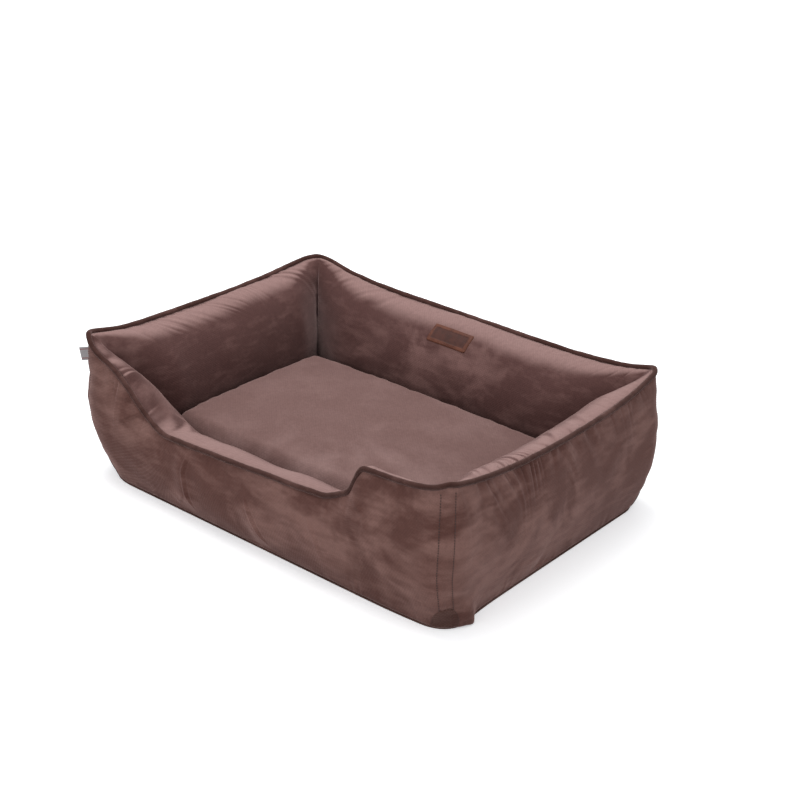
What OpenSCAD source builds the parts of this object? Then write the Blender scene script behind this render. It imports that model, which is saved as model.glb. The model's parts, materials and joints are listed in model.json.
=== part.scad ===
/* [Overall] */
// Length of the rim from corner to corner
rim_length = 827; // [800:1:850]
// Width of the rim from corner to corner
rim_width = 615; // [595:1:635]
// Height of the rim at its four corners
corner_height = 273; // [266:1:282]
// Height of the rim at the middle of the back wall
back_height = 239; // [232:1:248]
// Height of the rim at the middle of each side wall
side_height = 252; // [242:1:256]

/* [Entry] */
// Height of the front rim at the middle of the entry
entry_height = 160; // [150:1:168]
// Rise of the entry's edge for each millimetre to the right
entry_rise = 0.06; // [0:0.01:0.08]
// Place along the front wall where the left shoulder starts to fall
entry_left_top = -365; // [-380:5:-350]
// Place along the front wall where the left slope ends
entry_left_foot = -195; // [-230:5:-190]
// Place along the front wall where the right step starts
entry_right_foot = 185; // [170:5:190]
// Place along the front wall where the right step reaches its shoulder
entry_right_top = 262; // [255:5:280]
// Height of the left shoulder
left_shoulder = 228; // [220:1:236]
// Height of the right shoulder
right_shoulder = 250; // [242:1:256]

/* [Walls] */
// Thickness of the stuffed front wall
front_thickness = 92; // [86:1:94]
// Thickness of the stuffed back wall
back_thickness = 101; // [94:1:101]
// Thickness of each stuffed side wall
side_thickness = 94; // [86:1:94]
// Height at which the inside of a wall stands out furthest
fat_height = 102; // [98:1:106]
// How far the inside of a wall draws back between there and the floor
inner_recess = 31; // [28:1:34]
// How far the outside of a wall bulges
outer_bulge = 18; // [10:1:20]
// How far the rim bows outwards between its corners
rim_bow = 14; // [8:1:16]
// Radius of the rim's corners in plan
corner_round = 24; // [18:1:28]
// How far the foot of a wall stands in from its rim
foot_inset = 6; // [0:1:10]
// Thickness of a fabric panel with its interlining
skin = 2; // [1.6:0.1:2.2]

/* [Piping and labels] */
// Radius of the covered cord round the rim
piping_radius = 4.5; // [4:0.1:5]
// Width of the leather patch
patch_width = 97; // [80:1:110]
// Distance of the patch's middle to the left of the back wall's middle
patch_offset = 19; // [0:1:40]
// Where the patch starts on the curve of the back wall, in degrees down from the rim
patch_start = 25; // [22:1:30]
// Where the patch ends on that curve
patch_end = 45; // [42:1:50]
// Thickness of the leather
leather = 1.8; // [1.2:0.1:2.2]
// Length of the woven side label that stands out of its seam
label_length = 26; // [16:1:30]
// Height of the woven side label
label_height = 25; // [20:1:34]
// Angle at which the label droops
label_droop = 24; // [0:1:30]

/* [Base] */
// Thickness of the base panel
base_thickness = 3; // [2.5:0.1:3.5]
// Height of the base panel's turned-up corners
tab_height = 34; // [26:1:38]
// Half width of a turned-up corner on each side of its corner
tab_reach = 24; // [18:1:28]

/* [Cushion] */
// Length of the loose cushion
cushion_length = 636; // [620:1:636]
// Depth of the loose cushion
cushion_depth = 412; // [400:1:412]
// Height of the cushion's crown above the floor of the well
cushion_height = 118; // [105:1:120]
// Height of the cushion's seam above the floor of the well
seam_height = 48; // [44:1:52]
// Corner radius of the cushion
cushion_round = 62; // [50:1:70]
// How far the cushion's rounded edge reaches in
cushion_edge = 34; // [28:1:44]

/* [Zips] */
// Length of the zip in the cushion's back edge
cushion_zip = 420; // [360:10:440]
// Length of the zip low on the back wall
wall_zip = 500; // [400:10:540]
// Height of the wall zip's middle above the ground
wall_zip_height = 36; // [34:1:38]
// Width of one zip tape
tape_width = 11; // [10:0.5:12]
// Thickness of a zip tape
tape_thickness = 0.8; // [0.6:0.1:1]
// Width of one row of teeth
teeth_width = 2.4; // [2:0.1:2.6]
// Thickness of a row of teeth
teeth_thickness = 2.2; // [2:0.1:2.4]
// Clear gap between the two rows of teeth, for the slider's post
teeth_gap = 1.8; // [1.6:0.1:2]
// Length of a zip pull
pull_length = 12; // [9:0.5:12]

/* [Hidden] */
FRONT = 0;
RIGHT = 1;
BACK = 2;
LEFT = 3;
// Air between pieces that lie against each other
clearance = 0.3;
wall_foot = base_thickness + clearance;
floor_top = wall_foot + skin;
cushion_foot = floor_top + clearance;
cushion_seam = cushion_foot + seam_height;
inner_round = 25;
// Corner radius of the floor panel, clear of the ends of the thicker walls
floor_round = 60;
// Interlining between a fabric panel and the stuffing
lining = 1.5;
// Fabric panels end this far short of the rim's edge, where the piping is sewn in
rim_trim = 6;
bow_power = 2.5;
// How late the rim of each wall, front, right, back and left, rises to its corners
rise_power = [10, 2.5, 4.5, 2.5];
// Share of a corner's radius between its arc and the corner point, at 45 degrees
corner_cut = 1 - sqrt(0.5);

velour = [0.33, 0.22, 0.21];
velour_light = [0.47, 0.36, 0.35];
piping_brown = [0.2, 0.12, 0.11];
zip_brown = [0.16, 0.1, 0.09];
wadding = [0.9, 0.9, 0.88];
metal = [0.55, 0.5, 0.45];

function mix(a, b, f) = a + (b - a) * f;
function smooth(a, b, x) = let (f = min(1, max(0, (x - a) / (b - a)))) f * f * (3 - 2 * f);

// Half length of a wall, and the distance of its rim from the bed's middle
function along(side) = (side % 2 == 0 ? rim_length : rim_width) / 2;
function across(side) = (side % 2 == 0 ? rim_width : rim_length) / 2;
function thickness(side) = side == FRONT ? front_thickness : side == BACK ? back_thickness : side_thickness;

// Places along a wall from -1 to 1, closer together towards its corners
function stations(half) = [for (i = [-half:half]) sign(i) * (1 - pow(1 - abs(i) / half, 1.5))];
function wall_stations(side) = stations(side == FRONT ? 15 : 8);

// Height of the rim and its outward bow at place t along a wall
function shoulder(side, mid, t) = mix(mid, corner_height, pow(abs(t), rise_power[side]));
function entry_edge(x) = entry_height + entry_rise * x;
function front_rim(t) =
    let (x = t * rim_length / 2)
    let (left = 1 - smooth(entry_left_top, entry_left_foot, x))
    let (right = smooth(entry_right_foot, entry_right_top, x))
    x < 0 ? mix(entry_edge(x), shoulder(FRONT, left_shoulder, t), left)
          : mix(entry_edge(x), shoulder(FRONT, right_shoulder, t), right);
function rim(side, t) =
    side == FRONT ? front_rim(t) : shoulder(side, side == BACK ? back_height : side_height, t);
function bow(t) = rim_bow * (1 - pow(abs(t), bow_power));

// Point of a wall: t along it, n out from the plane of its rim, z up.
// Neighbouring walls meet on the diagonal of their corner, less the gap.
function turn(side, s, o, z) =
    side == FRONT ? [s, -o, z] : side == RIGHT ? [o, s, z] : side == BACK ? [-s, o, z] : [-o, -s, z];
function wall_point(side, t, n, z, gap = clearance) =
    let (a = along(side))
    let (r = max(corner_round + n, inner_round * smooth(0, -inner_round, n)))
    let (run = a + n - corner_cut * r)
    let (s = sign(t) * (a * abs(t) + (run - a) * pow(abs(t), bow_power)))
    let (d = a + n - abs(s))
    let (o = across(side) + n - (d < r ? r - sqrt(r * r - (r - d) * (r - d)) : 0))
    let (shift = abs(t) == 1 ? gap * sqrt(0.5) : 0)
    turn(side, s - sign(t) * shift, o + shift, z);

// Cross-section of a stuffed wall as [n, z] points, moved in from its surface by inset
function outer_n(t, z, top) =
    let (v = (z - wall_foot) / (top - wall_foot))
    mix(-foot_inset, bow(t), v) + outer_bulge * sin(180 * min(1, max(0, v)));
function outer_line(side, t, inset, low, high, steps) =
    let (top = rim(side, t))
    [for (i = [0:steps]) let (z = mix(low, high, i / steps)) [outer_n(t, z, top) - inset, z]];
// The inside is a quarter ellipse from the rim, q degrees down it, to the wall's fattest height
function inner_upper(side, t, inset, q) =
    let (top = rim(side, t) - inset)
    let (edge = bow(t) - inset)
    [edge - (edge + thickness(side) - inset) * sin(q), top - (top - fat_height) * (1 - cos(q))];
function inner_line(side, t, inset, start, low, steps) =
    let (depth = thickness(side) - inset)
    let (upper = [for (i = [0:steps]) inner_upper(side, t, inset, mix(start, 90, i / steps))])
    let (lower = [for (i = [1:steps / 2]) let (w = i / (steps / 2))
        [-depth + inner_recess * pow(w, 1.25), mix(fat_height, low, w)]])
    concat(upper, lower);

function sweep(side, t, section) = [for (p = section) wall_point(side, t, p[0], p[1])];
function reversed(list) = [for (i = [len(list) - 1:-1:0]) list[i]];

// Closed solid through a row of rings with the same even number of points
module loft(rings, loop = false) {
    n = len(rings[0]);
    m = len(rings);
    last = (m - 1) * n;
    walls = [for (i = [0:m - (loop ? 1 : 2)]) for (j = [0:n - 1])
        let (a = i * n, b = (i + 1) % m * n, k = (j + 1) % n)
        each [[a + j, b + j, b + k], [a + j, b + k, a + k]]];
    caps = loop ? [] : [for (j = [0:n / 2 - 2]) let (o = n - 1 - j) each [
        [j, j + 1, o], [j + 1, o - 1, o],
        [last + j + 1, last + j, last + o], [last + j + 1, last + o, last + o - 1]]];
    polyhedron([for (ring = rings) each ring], concat(walls, caps));
}

module outer_panel(side) {
    steps = 8;
    loft([for (t = wall_stations(side))
        let (low = side == BACK ? zip_edge(t, 1) : wall_foot)
        let (high = rim(side, t) - rim_trim)
        sweep(side, t, concat(
            outer_line(side, t, 0, low, high, steps),
            reversed(outer_line(side, t, skin, low, high, steps))))]);
}

module inner_panel(side) {
    steps = 8;
    start = asin(rim_trim / thickness(side));
    loft([for (t = wall_stations(side))
        sweep(side, t, concat(
            reversed(inner_line(side, t, 0, start, wall_foot, steps)),
            inner_line(side, t, skin, start, wall_foot, steps)))]);
}

module bolster_fill(side) {
    inset = skin + lining;
    inner_steps = 8;
    outer_steps = inner_steps * 3 / 2;
    loft([for (t = wall_stations(side))
        sweep(side, t, concat(
            outer_line(side, t, inset, wall_foot + inset, rim(side, t) - inset - 1, outer_steps),
            inner_line(side, t, inset, 0, wall_foot + inset, inner_steps)))]);
}

// Edge of the back wall's fabric above (way 1) or below (way -1) the zip
zip_opening = wall_zip + 60;
function zip_edge(t, way) =
    let (gap = abs(t) * rim_length < zip_opening ? slider_half + 3 * clearance : clearance / 2)
    wall_zip_height + way * gap;

module back_zip_facing() {
    steps = 4;
    color(velour)
    loft([for (t = wall_stations(BACK))
        sweep(BACK, t, concat(
            outer_line(BACK, t, 0, wall_foot, zip_edge(t, -1), steps),
            reversed(outer_line(BACK, t, skin, wall_foot, zip_edge(t, -1), steps))))]);
}

// Round tube along a closed loop of points
module piping_tube(points, radius, sides) {
    m = len(points);
    loft([for (i = [0:m - 1])
        let (ahead = points[(i + 1) % m] - points[(i + m - 1) % m])
        let (across = cross(ahead, [0, 0, 1]) / norm(cross(ahead, [0, 0, 1])))
        let (up = cross(across, ahead) / norm(ahead))
        [for (j = [0:sides - 1]) let (q = 360 * j / sides)
            points[i] + radius * (cos(q) * across + sin(q) * up)]], loop = true);
}

module rim_piping() {
    line = [for (side = [FRONT:LEFT]) for (t = wall_stations(side)) if (t < 1)
        wall_point(side, t, bow(t) + 0.5, rim(side, t) + 1, 0)];
    color(piping_brown) piping_tube(line, piping_radius, 8);
}

// Flat panel with rounded corners
module rounded_sheet(left, right, front, back, low, high, radius) {
    translate([0, 0, low])
        linear_extrude(high - low)
            hull()
                for (x = [left + radius, right - radius], y = [front + radius, back - radius])
                    translate([x, y])
                        circle(radius, $fn = 48);
}

// Arched flap of the base's cloth, sewn on the base panel, that wraps the corner after a wall
module corner_tab(side) {
    next = (side + 1) % 4;
    steps = 5;
    air = 2 * clearance;
    places = concat(
        [for (i = [steps:-1:1]) [side, 1 - i / steps * tab_reach / along(side), i / steps]],
        [[next, -1, 0]],
        [for (i = [1:steps]) [next, -1 + i / steps * tab_reach / along(next), i / steps]]);
    loft([for (place = places)
        let (t = place[1])
        let (top = mix(base_thickness + 1, tab_height, sqrt(1 - pow(place[2], 2))))
        let (line = outer_line(place[0], t, -air, base_thickness, top, 3))
        let (face = outer_line(place[0], t, -air - base_thickness / 2, base_thickness, top, 3))
        [for (p = concat(face, reversed(line))) wall_point(place[0], t, p[0], p[1], 0)]]);
}

module base_panel() {
    base_x = rim_length / 2 - foot_inset + 2;
    base_y = rim_width / 2 - foot_inset + 2;
    color(velour)
        rounded_sheet(-base_x, base_x, -base_y, base_y, 0, base_thickness, corner_round - foot_inset + 2);
}

module base_corner_tabs() {
    color(velour)
        for (side = [FRONT:LEFT])
            corner_tab(side);
}

module floor_panel() {
    air = 5 * clearance;
    reach = rim_length / 2 - side_thickness + inner_recess - air;
    color(velour_light)
        rounded_sheet(-reach, reach,
            -rim_width / 2 + front_thickness - inner_recess + air,
            rim_width / 2 - back_thickness + inner_recess - air,
            wall_foot, floor_top, floor_round);
}

module leather_patch() {
    steps = 4;
    middle = patch_offset / along(BACK);
    reach = patch_width / 2 / along(BACK);
    color([0.22, 0.13, 0.11])
        loft([for (i = [-2:2])
            let (t = middle + reach * i / 2)
            sweep(BACK, t, concat(
                [for (k = [0:steps]) inner_upper(BACK, t, -clearance, mix(patch_start, patch_end, k / steps))],
                [for (k = [steps:-1:0])
                    inner_upper(BACK, t, -clearance - leather, mix(patch_start, patch_end, k / steps))]))]);
}

// Folded woven label in the seam round the front left corner, drooping away from the wall
module side_label() {
    fold = 1.2;
    color([0.45, 0.43, 0.44])
        translate([-rim_length / 2 - 10.2, -rim_width / 2 + 22, 240])
            rotate([90, 0, 0])
                linear_extrude(fold, center = true)
                    intersection() {
                        rotate(180 + label_droop)
                            translate([-label_length, -6])
                                square([2 * label_length, label_height]);
                        translate([-2 * label_length, -2 * label_height])
                            square([2 * label_length, 4 * label_height]);
                    }
}

/* The loose cushion */
cushion_middle = -rim_width / 2 + front_thickness + 1.5 + cushion_depth / 2;
crown = 10;

// Outline of the cushion as [point, outward direction], with points where its zip starts and ends
function cushion_outline() =
    let (a = cushion_length / 2 - cushion_round, b = cushion_depth / 2 - cushion_round)
    let (seam = cushion_zip / 2 + 8)
    concat(
        [for (q = [0:15:90]) corner_spot(a, b, q)],
        [for (x = [seam, seam / 3, -seam / 3, -seam]) [[x, b + cushion_round], [0, 1]]],
        [for (q = [90:15:180]) corner_spot(-a, b, q)],
        [for (y = [b / 2, -b / 2]) [[-a - cushion_round, y], [-1, 0]]],
        [for (q = [180:15:270]) corner_spot(-a, -b, q)],
        [for (x = [-seam, -seam / 3, seam / 3, seam]) [[x, -b - cushion_round], [0, -1]]],
        [for (q = [270:15:360]) corner_spot(a, -b, q)],
        [for (y = [-b / 2, b / 2]) [[a + cushion_round, y], [1, 0]]]);
function corner_spot(x, y, q) = [[x, y] + cushion_round * [cos(q), sin(q)], [cos(q), sin(q)]];

// Half the opening between the upper and lower cover at an outline point
function seam_gap(spot) =
    spot[1] == [0, 1] && abs(spot[0][0]) < cushion_zip / 2 + 9 ? slider_half + 2 * clearance : clearance / 2;

// Ring of the cushion above (way 1) or below (way -1) its seam:
// q degrees round the edge, moved in by inset, then shrunk to the share k of its size
function cushion_ring(way, q, inset, k = 1) =
    let (rise = (way > 0 ? cushion_height - seam_height - crown : seam_height) - inset)
    let (e = inset + cushion_edge * (1 - cos(q)))
    let (lift = way > 0 ? crown * (1 - k * k) : 0)
    [for (spot = cushion_outline())
        let (p = (spot[0] - e * spot[1]) * k)
        [p[0], p[1] + cushion_middle, cushion_seam + way * (max(seam_gap(spot), rise * sin(q)) + lift)]];
function cushion_half(way, inset) = concat(
    [for (q = [0, 18, 40, 65, 90]) cushion_ring(way, q, inset)],
    way > 0 ? [for (k = [0.8, 0.5, 0.15]) cushion_ring(way, 90, inset, k)] : []);

module cushion_cover_top() {
    color(velour_light)
        loft(concat(reversed(cushion_half(1, skin)), cushion_half(1, 0)));
}

module cushion_cover_bottom() {
    color(velour)
        loft(concat(reversed(cushion_half(-1, 0)), cushion_half(-1, skin)));
}

module cushion_fill() {
    inset = skin + lining;
    color(wadding)
        loft(concat(reversed(cushion_half(-1, inset)), cushion_half(1, inset)));
}

/* Zips: x runs along the zip, y out of the fabric, z from the lower to the upper tape */
slider_half = 4;
slider_length = 9;
slider_plate = 0.8;
slider_air = 0.35;
post_width = 1;
post_length = 3;
pin_radius = 0.6;
eye_radius = 1.3;
eye_air = 0.08;
lug_width = 0.8;
pull_width = 3.2;
pull_thickness = 1;
stop_length = 3;
tape_end = 2;
tape_start = teeth_gap / 2 + teeth_width;
plate_face = teeth_thickness / 2 + slider_air + slider_plate;
pin_height = plate_face + eye_radius + clearance;

// Place of each zip's slider when closed, from the zip's middle
function closed_place(length) = length / 2 - tape_end - stop_length - slider_length / 2 - 1;

module at_cushion_zip() {
    translate([0, cushion_middle + cushion_depth / 2 + 1.2, cushion_seam])
        children();
}

wall_zip_n = outer_n(0, wall_zip_height, rim(BACK, 0)) + 1.2;
// The zip lies along the slope of the wall there
wall_zip_lean = atan(outer_n(0, wall_zip_height + 0.5, rim(BACK, 0))
    - outer_n(0, wall_zip_height - 0.5, rim(BACK, 0)));
module at_wall_zip() {
    translate([0, rim_width / 2 + wall_zip_n, wall_zip_height])
        rotate([-wall_zip_lean, 0, 0])
            children();
}

module zip_tape(length, way) {
    color(zip_brown)
        translate([-length / 2, -tape_thickness / 2, way > 0 ? tape_start : -tape_start - tape_width])
            cube([length, tape_thickness, tape_width]);
}

module zip_teeth(length, way) {
    run = length - 2 * tape_end - 2 * stop_length;
    color(zip_brown)
        translate([-run / 2, -teeth_thickness / 2, way > 0 ? teeth_gap / 2 : -tape_start])
            cube([run, teeth_thickness, teeth_width]);
}

module zip_stops(length) {
    color(metal)
        for (way = [-1, 1])
            translate([way * (length / 2 - tape_end - stop_length / 2), 0, 0])
                cube([stop_length, teeth_thickness, 2 * tape_start], center = true);
}

module zip_slider(length) {
    lug_middle = pull_width / 2 + clearance + lug_width / 2;
    color(metal)
        translate([closed_place(length), 0, 0]) {
            for (way = [-1, 1])
                translate([0, way * (plate_face - slider_plate / 2), 0])
                    cube([slider_length, slider_plate, 2 * slider_half], center = true);
            cube([post_length, 2 * plate_face - slider_plate, post_width], center = true);
            for (way = [-1, 1])
                translate([0, (plate_face + pin_height) / 2, way * lug_middle])
                    cube([2 * pin_radius, pin_height - plate_face + 2 * pin_radius, lug_width], center = true);
            translate([0, pin_height, 0])
                cylinder(h = pull_width + 2 * clearance + lug_width, r = pin_radius, center = true, $fn = 32);
        }
}

module zip_pull(length) {
    color(metal)
        translate([closed_place(length), pin_height, 0])
            difference() {
                union() {
                    cylinder(h = pull_width, r = eye_radius, center = true, $fn = 32);
                    translate([-pull_length, -pull_thickness / 2, -pull_width / 2])
                        cube([pull_length, pull_thickness, pull_width]);
                }
                cylinder(h = pull_width + 1, r = pin_radius + eye_air, center = true, $fn = 32);
            }
}

base_panel();
base_corner_tabs();
floor_panel();
color(velour) outer_panel(FRONT);  // outer_panel_front
color(velour) outer_panel(RIGHT);  // outer_panel_right
color(velour) outer_panel(BACK);  // outer_panel_back
color(velour) outer_panel(LEFT);  // outer_panel_left
back_zip_facing();
color(velour_light) inner_panel(FRONT);  // inner_panel_front
color(velour_light) inner_panel(RIGHT);  // inner_panel_right
color(velour_light) inner_panel(BACK);  // inner_panel_back
color(velour_light) inner_panel(LEFT);  // inner_panel_left
color(wadding) bolster_fill(FRONT);  // bolster_fill_front
color(wadding) bolster_fill(RIGHT);  // bolster_fill_right
color(wadding) bolster_fill(BACK);  // bolster_fill_back
color(wadding) bolster_fill(LEFT);  // bolster_fill_left
rim_piping();
leather_patch();
side_label();
at_wall_zip() zip_tape(wall_zip, 1);  // wall_zip_tape_upper
at_wall_zip() zip_tape(wall_zip, -1);  // wall_zip_tape_lower
at_wall_zip() zip_teeth(wall_zip, 1);  // wall_zip_teeth_upper
at_wall_zip() zip_teeth(wall_zip, -1);  // wall_zip_teeth_lower
at_wall_zip() zip_stops(wall_zip);  // wall_zip_stops
at_wall_zip() zip_slider(wall_zip);  // wall_zip_slider
at_wall_zip() zip_pull(wall_zip);  // wall_zip_pull
cushion_cover_top();
cushion_cover_bottom();
cushion_fill();
at_cushion_zip() zip_tape(cushion_zip, 1);  // cushion_zip_tape_upper
at_cushion_zip() zip_tape(cushion_zip, -1);  // cushion_zip_tape_lower
at_cushion_zip() zip_teeth(cushion_zip, 1);  // cushion_zip_teeth_upper
at_cushion_zip() zip_teeth(cushion_zip, -1);  // cushion_zip_teeth_lower
at_cushion_zip() zip_stops(cushion_zip);  // cushion_zip_stops
at_cushion_zip() zip_slider(cushion_zip);  // cushion_zip_slider
at_cushion_zip() zip_pull(cushion_zip);  // cushion_zip_pull
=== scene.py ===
# Pet cushion bed: stuffed velour walls with a piped rim, a loose zipped cushion, a base with
# turned-up corners, a leather patch, a woven label and two coil zips. Everything is in metres.
import json
import math

import bpy
import numpy as np
from mathutils import Matrix, Vector
from mathutils.bvhtree import BVHTree


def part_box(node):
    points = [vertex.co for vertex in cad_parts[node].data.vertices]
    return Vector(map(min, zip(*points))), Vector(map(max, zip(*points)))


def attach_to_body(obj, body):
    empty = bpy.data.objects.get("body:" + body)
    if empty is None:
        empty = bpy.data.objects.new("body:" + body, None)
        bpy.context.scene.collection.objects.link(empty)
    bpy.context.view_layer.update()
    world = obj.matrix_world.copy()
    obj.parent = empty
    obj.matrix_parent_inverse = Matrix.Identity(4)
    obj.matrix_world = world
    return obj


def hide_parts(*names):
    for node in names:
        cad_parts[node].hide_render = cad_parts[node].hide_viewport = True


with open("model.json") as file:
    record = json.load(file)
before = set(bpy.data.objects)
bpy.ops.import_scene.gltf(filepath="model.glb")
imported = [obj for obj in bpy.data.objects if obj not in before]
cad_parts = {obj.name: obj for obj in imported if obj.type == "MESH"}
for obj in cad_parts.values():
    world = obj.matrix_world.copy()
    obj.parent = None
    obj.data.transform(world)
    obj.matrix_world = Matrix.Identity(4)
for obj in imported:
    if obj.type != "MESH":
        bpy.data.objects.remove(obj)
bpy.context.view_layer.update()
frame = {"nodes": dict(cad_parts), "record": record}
scene = bpy.context.scene
print("frame loaded:", len(frame["nodes"]), "nodes")


def smooth(low, high, x):
    f = np.clip((x - low) / (high - low), 0, 1)
    return f * f * (3 - 2 * f)


def mix(a, b, f):
    return a + (b - a) * f


def ripple(x, seed, period):
    # smooth wave of uneven height
    table = np.random.RandomState(seed).uniform(-1, 1, 512)
    x = np.asarray(x) / period + 200
    i = np.floor(x).astype(int)
    f = x - i
    f = f * f * (3 - 2 * f)
    return mix(table[i % 512], table[(i + 1) % 512], f)


def lumps(x, y, seed, period):
    table = np.random.RandomState(seed).uniform(-1, 1, (64, 64))
    x = np.asarray(x) / period + 30
    y = np.asarray(y) / period + 30
    i, j = np.floor(x).astype(int), np.floor(y).astype(int)
    f, g = x - i, y - j
    f, g = f * f * (3 - 2 * f), g * g * (3 - 2 * g)
    pick = lambda a, b: table[a % 64, b % 64]
    return mix(mix(pick(i, j), pick(i + 1, j), f), mix(pick(i, j + 1), pick(i + 1, j + 1), f), g)


def link(obj):
    scene.collection.objects.link(obj)
    return obj


def shadeSmooth(mesh):
    mesh.polygons.foreach_set("use_smooth", [True] * len(mesh.polygons))


def meshObject(name, points, faces, uvs=None):
    mesh = bpy.data.meshes.new(name)
    mesh.from_pydata([tuple(p) for p in points], [], faces)
    shadeSmooth(mesh)
    if uvs is not None:
        layer = mesh.uv_layers.new(name="cloth")
        corner = np.zeros(len(mesh.loops), dtype=int)
        mesh.loops.foreach_get("vertex_index", corner)
        layer.data.foreach_set("uv", np.asarray(uvs)[corner].ravel())
    mesh.validate()
    return link(bpy.data.objects.new(name, mesh))


def gridFaces(rows, columns, loop):
    # quads of a grid; with loop the last column joins the first
    faces = []
    for i in range(rows - 1):
        for j in range(columns if loop else columns - 1):
            k = (j + 1) % columns
            faces.append((i * columns + j, i * columns + k, (i + 1) * columns + k, (i + 1) * columns + j))
    return faces


def border(rows, columns):
    # places round the edge of a grid
    places = [(i, 0) for i in range(rows)] + [(rows - 1, j) for j in range(1, columns)]
    places += [(i, columns - 1) for i in reversed(range(rows - 1))]
    return places + [(0, j) for j in reversed(range(1, columns - 1))]


def doubledFaces(rows, columns, flip=False):
    # a grid in two layers, closed round its border; the second layer's points follow the first's
    size = rows * columns
    faces = []
    for i in range(rows - 1):
        for j in range(columns - 1):
            k = i * columns + j
            quad = [k, k + 1, k + columns + 1, k + columns]
            if flip:
                quad[1], quad[3] = quad[3], quad[1]
            faces += [tuple(quad), tuple(size + k for k in reversed(quad))]
    rim = [i * columns + j for i, j in border(rows, columns)]
    for a, b in zip(rim, rim[1:] + rim[:1]):
        if flip:
            a, b = b, a
        faces.append((a, b, size + b, size + a))
    return faces


def roundedCorners(halfX, halfY, radii, count):
    # outline of a rectangle with a rounded corner of its own radius in each quarter
    out = []
    for sx, sy, start, radius in zip((1, -1, -1, 1), (1, 1, -1, -1), (0, 90, 180, 270), radii):
        for q in np.radians(np.linspace(start, start + 90, count)):
            out.append((sx * (halfX - radius) + radius * math.cos(q),
                        sy * (halfY - radius) + radius * math.sin(q)))
    return out


def gridNormals(points, loop):
    along = np.gradient(points, axis=0)
    if loop:
        across = np.roll(points, -1, axis=1) - np.roll(points, 1, axis=1)
    else:
        across = np.gradient(points, axis=1)
    normal = np.cross(along, across)
    return normal / np.maximum(np.linalg.norm(normal, axis=2, keepdims=True), 1e-9)


def moreRows(p, closed=False):
    # twice as many rows, on a smooth curve through the old ones
    if closed:
        middle = (9 * (p + np.roll(p, -1, axis=0)) - np.roll(p, 1, axis=0) - np.roll(p, -2, axis=0)) / 16
    else:
        ends = np.concatenate([2 * p[:1] - p[1:2], p, 2 * p[-1:] - p[-2:-1]])
        middle = (9 * (ends[1:-2] + ends[2:-1]) - ends[:-3] - ends[3:]) / 16
    out = np.empty((len(p) + len(middle),) + p.shape[1:])
    out[0::2], out[1::2] = p, middle
    return out


def finer(points, loop):
    # twice as many rows and columns
    return np.swapaxes(moreRows(np.swapaxes(moreRows(points), 0, 1), loop), 0, 1)


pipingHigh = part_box("rim_piping")[1]
bed = {
    "rimBow": 0.014,          # how far the rim bows out between corners
    "pipingRadius": 0.0049,
    "pipingOut": 0.0005,      # the cord's middle from the rim's edge
    "pipingUp": 0.001,
    "backHeight": 0.239,
    "sideHeight": 0.252,
    "leftShoulder": 0.228,
    "rightShoulder": 0.250,
    "risePower": (10, 2.5, 4.5, 2.5),   # how late each rim rises to its corners
    "entryHeight": 0.160,
    "entryRise": 0.06,
    "entryLeft": (-0.365, -0.195),
    "entryRight": (0.16, 0.24),
    "entryStep": (0.218, 0.25),         # the steep end of the entry
    "stepShare": 0.65,
    "thickness": (0.092, 0.094, 0.101, 0.094),
    "fatHeight": (0.088, 0.118, 0.116, 0.118),
    "fullness": (1.9, 2.25, 2.1, 2.3),  # 2 rolls over as an ellipse, more is squarer
    "endProfile": (0.09, 0.112, 1.75),  # thickness, fat height and fullness at every corner
    "recess": 0.031,
    "bulge": 0.018,
    "cornerRound": (0.036, 0.024, 0.026, 0.046),
    "footRound": (0.052, 0.026, 0.030, 0.026),    # how much rounder the corners are at the foot
    "innerRound": 0.006,
    "footInset": 0.006,
    "foot": 0.0033,
    "endTuck": 0.46,          # share of the thickness that a corner seam pulls in
    "endReach": 0.12,
    "ear": 0.017,             # the front left corner stands out
    "earReach": 0.06,
    "earDrop": 0.2,
    "belly": (0.015, 0.004, 0.010, 0.008),  # how far each corner bulges at half height
    "bellyReach": 0.09,
    "footTurn": (0.010, 0.007),         # shift of the front right corner's foot
}
front, right, back, left = range(4)
sideNames = ["front", "right", "back", "left"]
cornerSigns = [(-1, -1), (1, -1), (1, 1), (-1, 1)]
halfLength = pipingHigh[0] - bed["rimBow"] - bed["pipingOut"] - bed["pipingRadius"]
halfWidth = pipingHigh[1] - bed["rimBow"] - bed["pipingOut"] - bed["pipingRadius"]
cornerHeight = pipingHigh[2] - bed["pipingUp"] - bed["pipingRadius"]


def halfAlong(side):
    return halfLength if side % 2 == 0 else halfWidth


def halfAcross(side):
    return halfWidth if side % 2 == 0 else halfLength


def rimHeight(side, t):
    shoulder = lambda middle: mix(middle, cornerHeight, np.abs(t) ** bed["risePower"][side])
    if side != front:
        return shoulder(bed["backHeight"] if side == back else bed["sideHeight"])
    x = t * halfLength
    entry = bed["entryHeight"] + bed["entryRise"] * x
    leftRise = 1 - smooth(*bed["entryLeft"], x)
    rightRise = mix(smooth(*bed["entryRight"], x), smooth(*bed["entryStep"], x), bed["stepShare"])
    return np.where(x < 0, mix(entry, shoulder(bed["leftShoulder"]), leftRise),
                    mix(entry, shoulder(bed["rightShoulder"]), rightRise))


def bowOut(t):
    return bed["rimBow"] * (1 - np.abs(t) ** 2.5)


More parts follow.
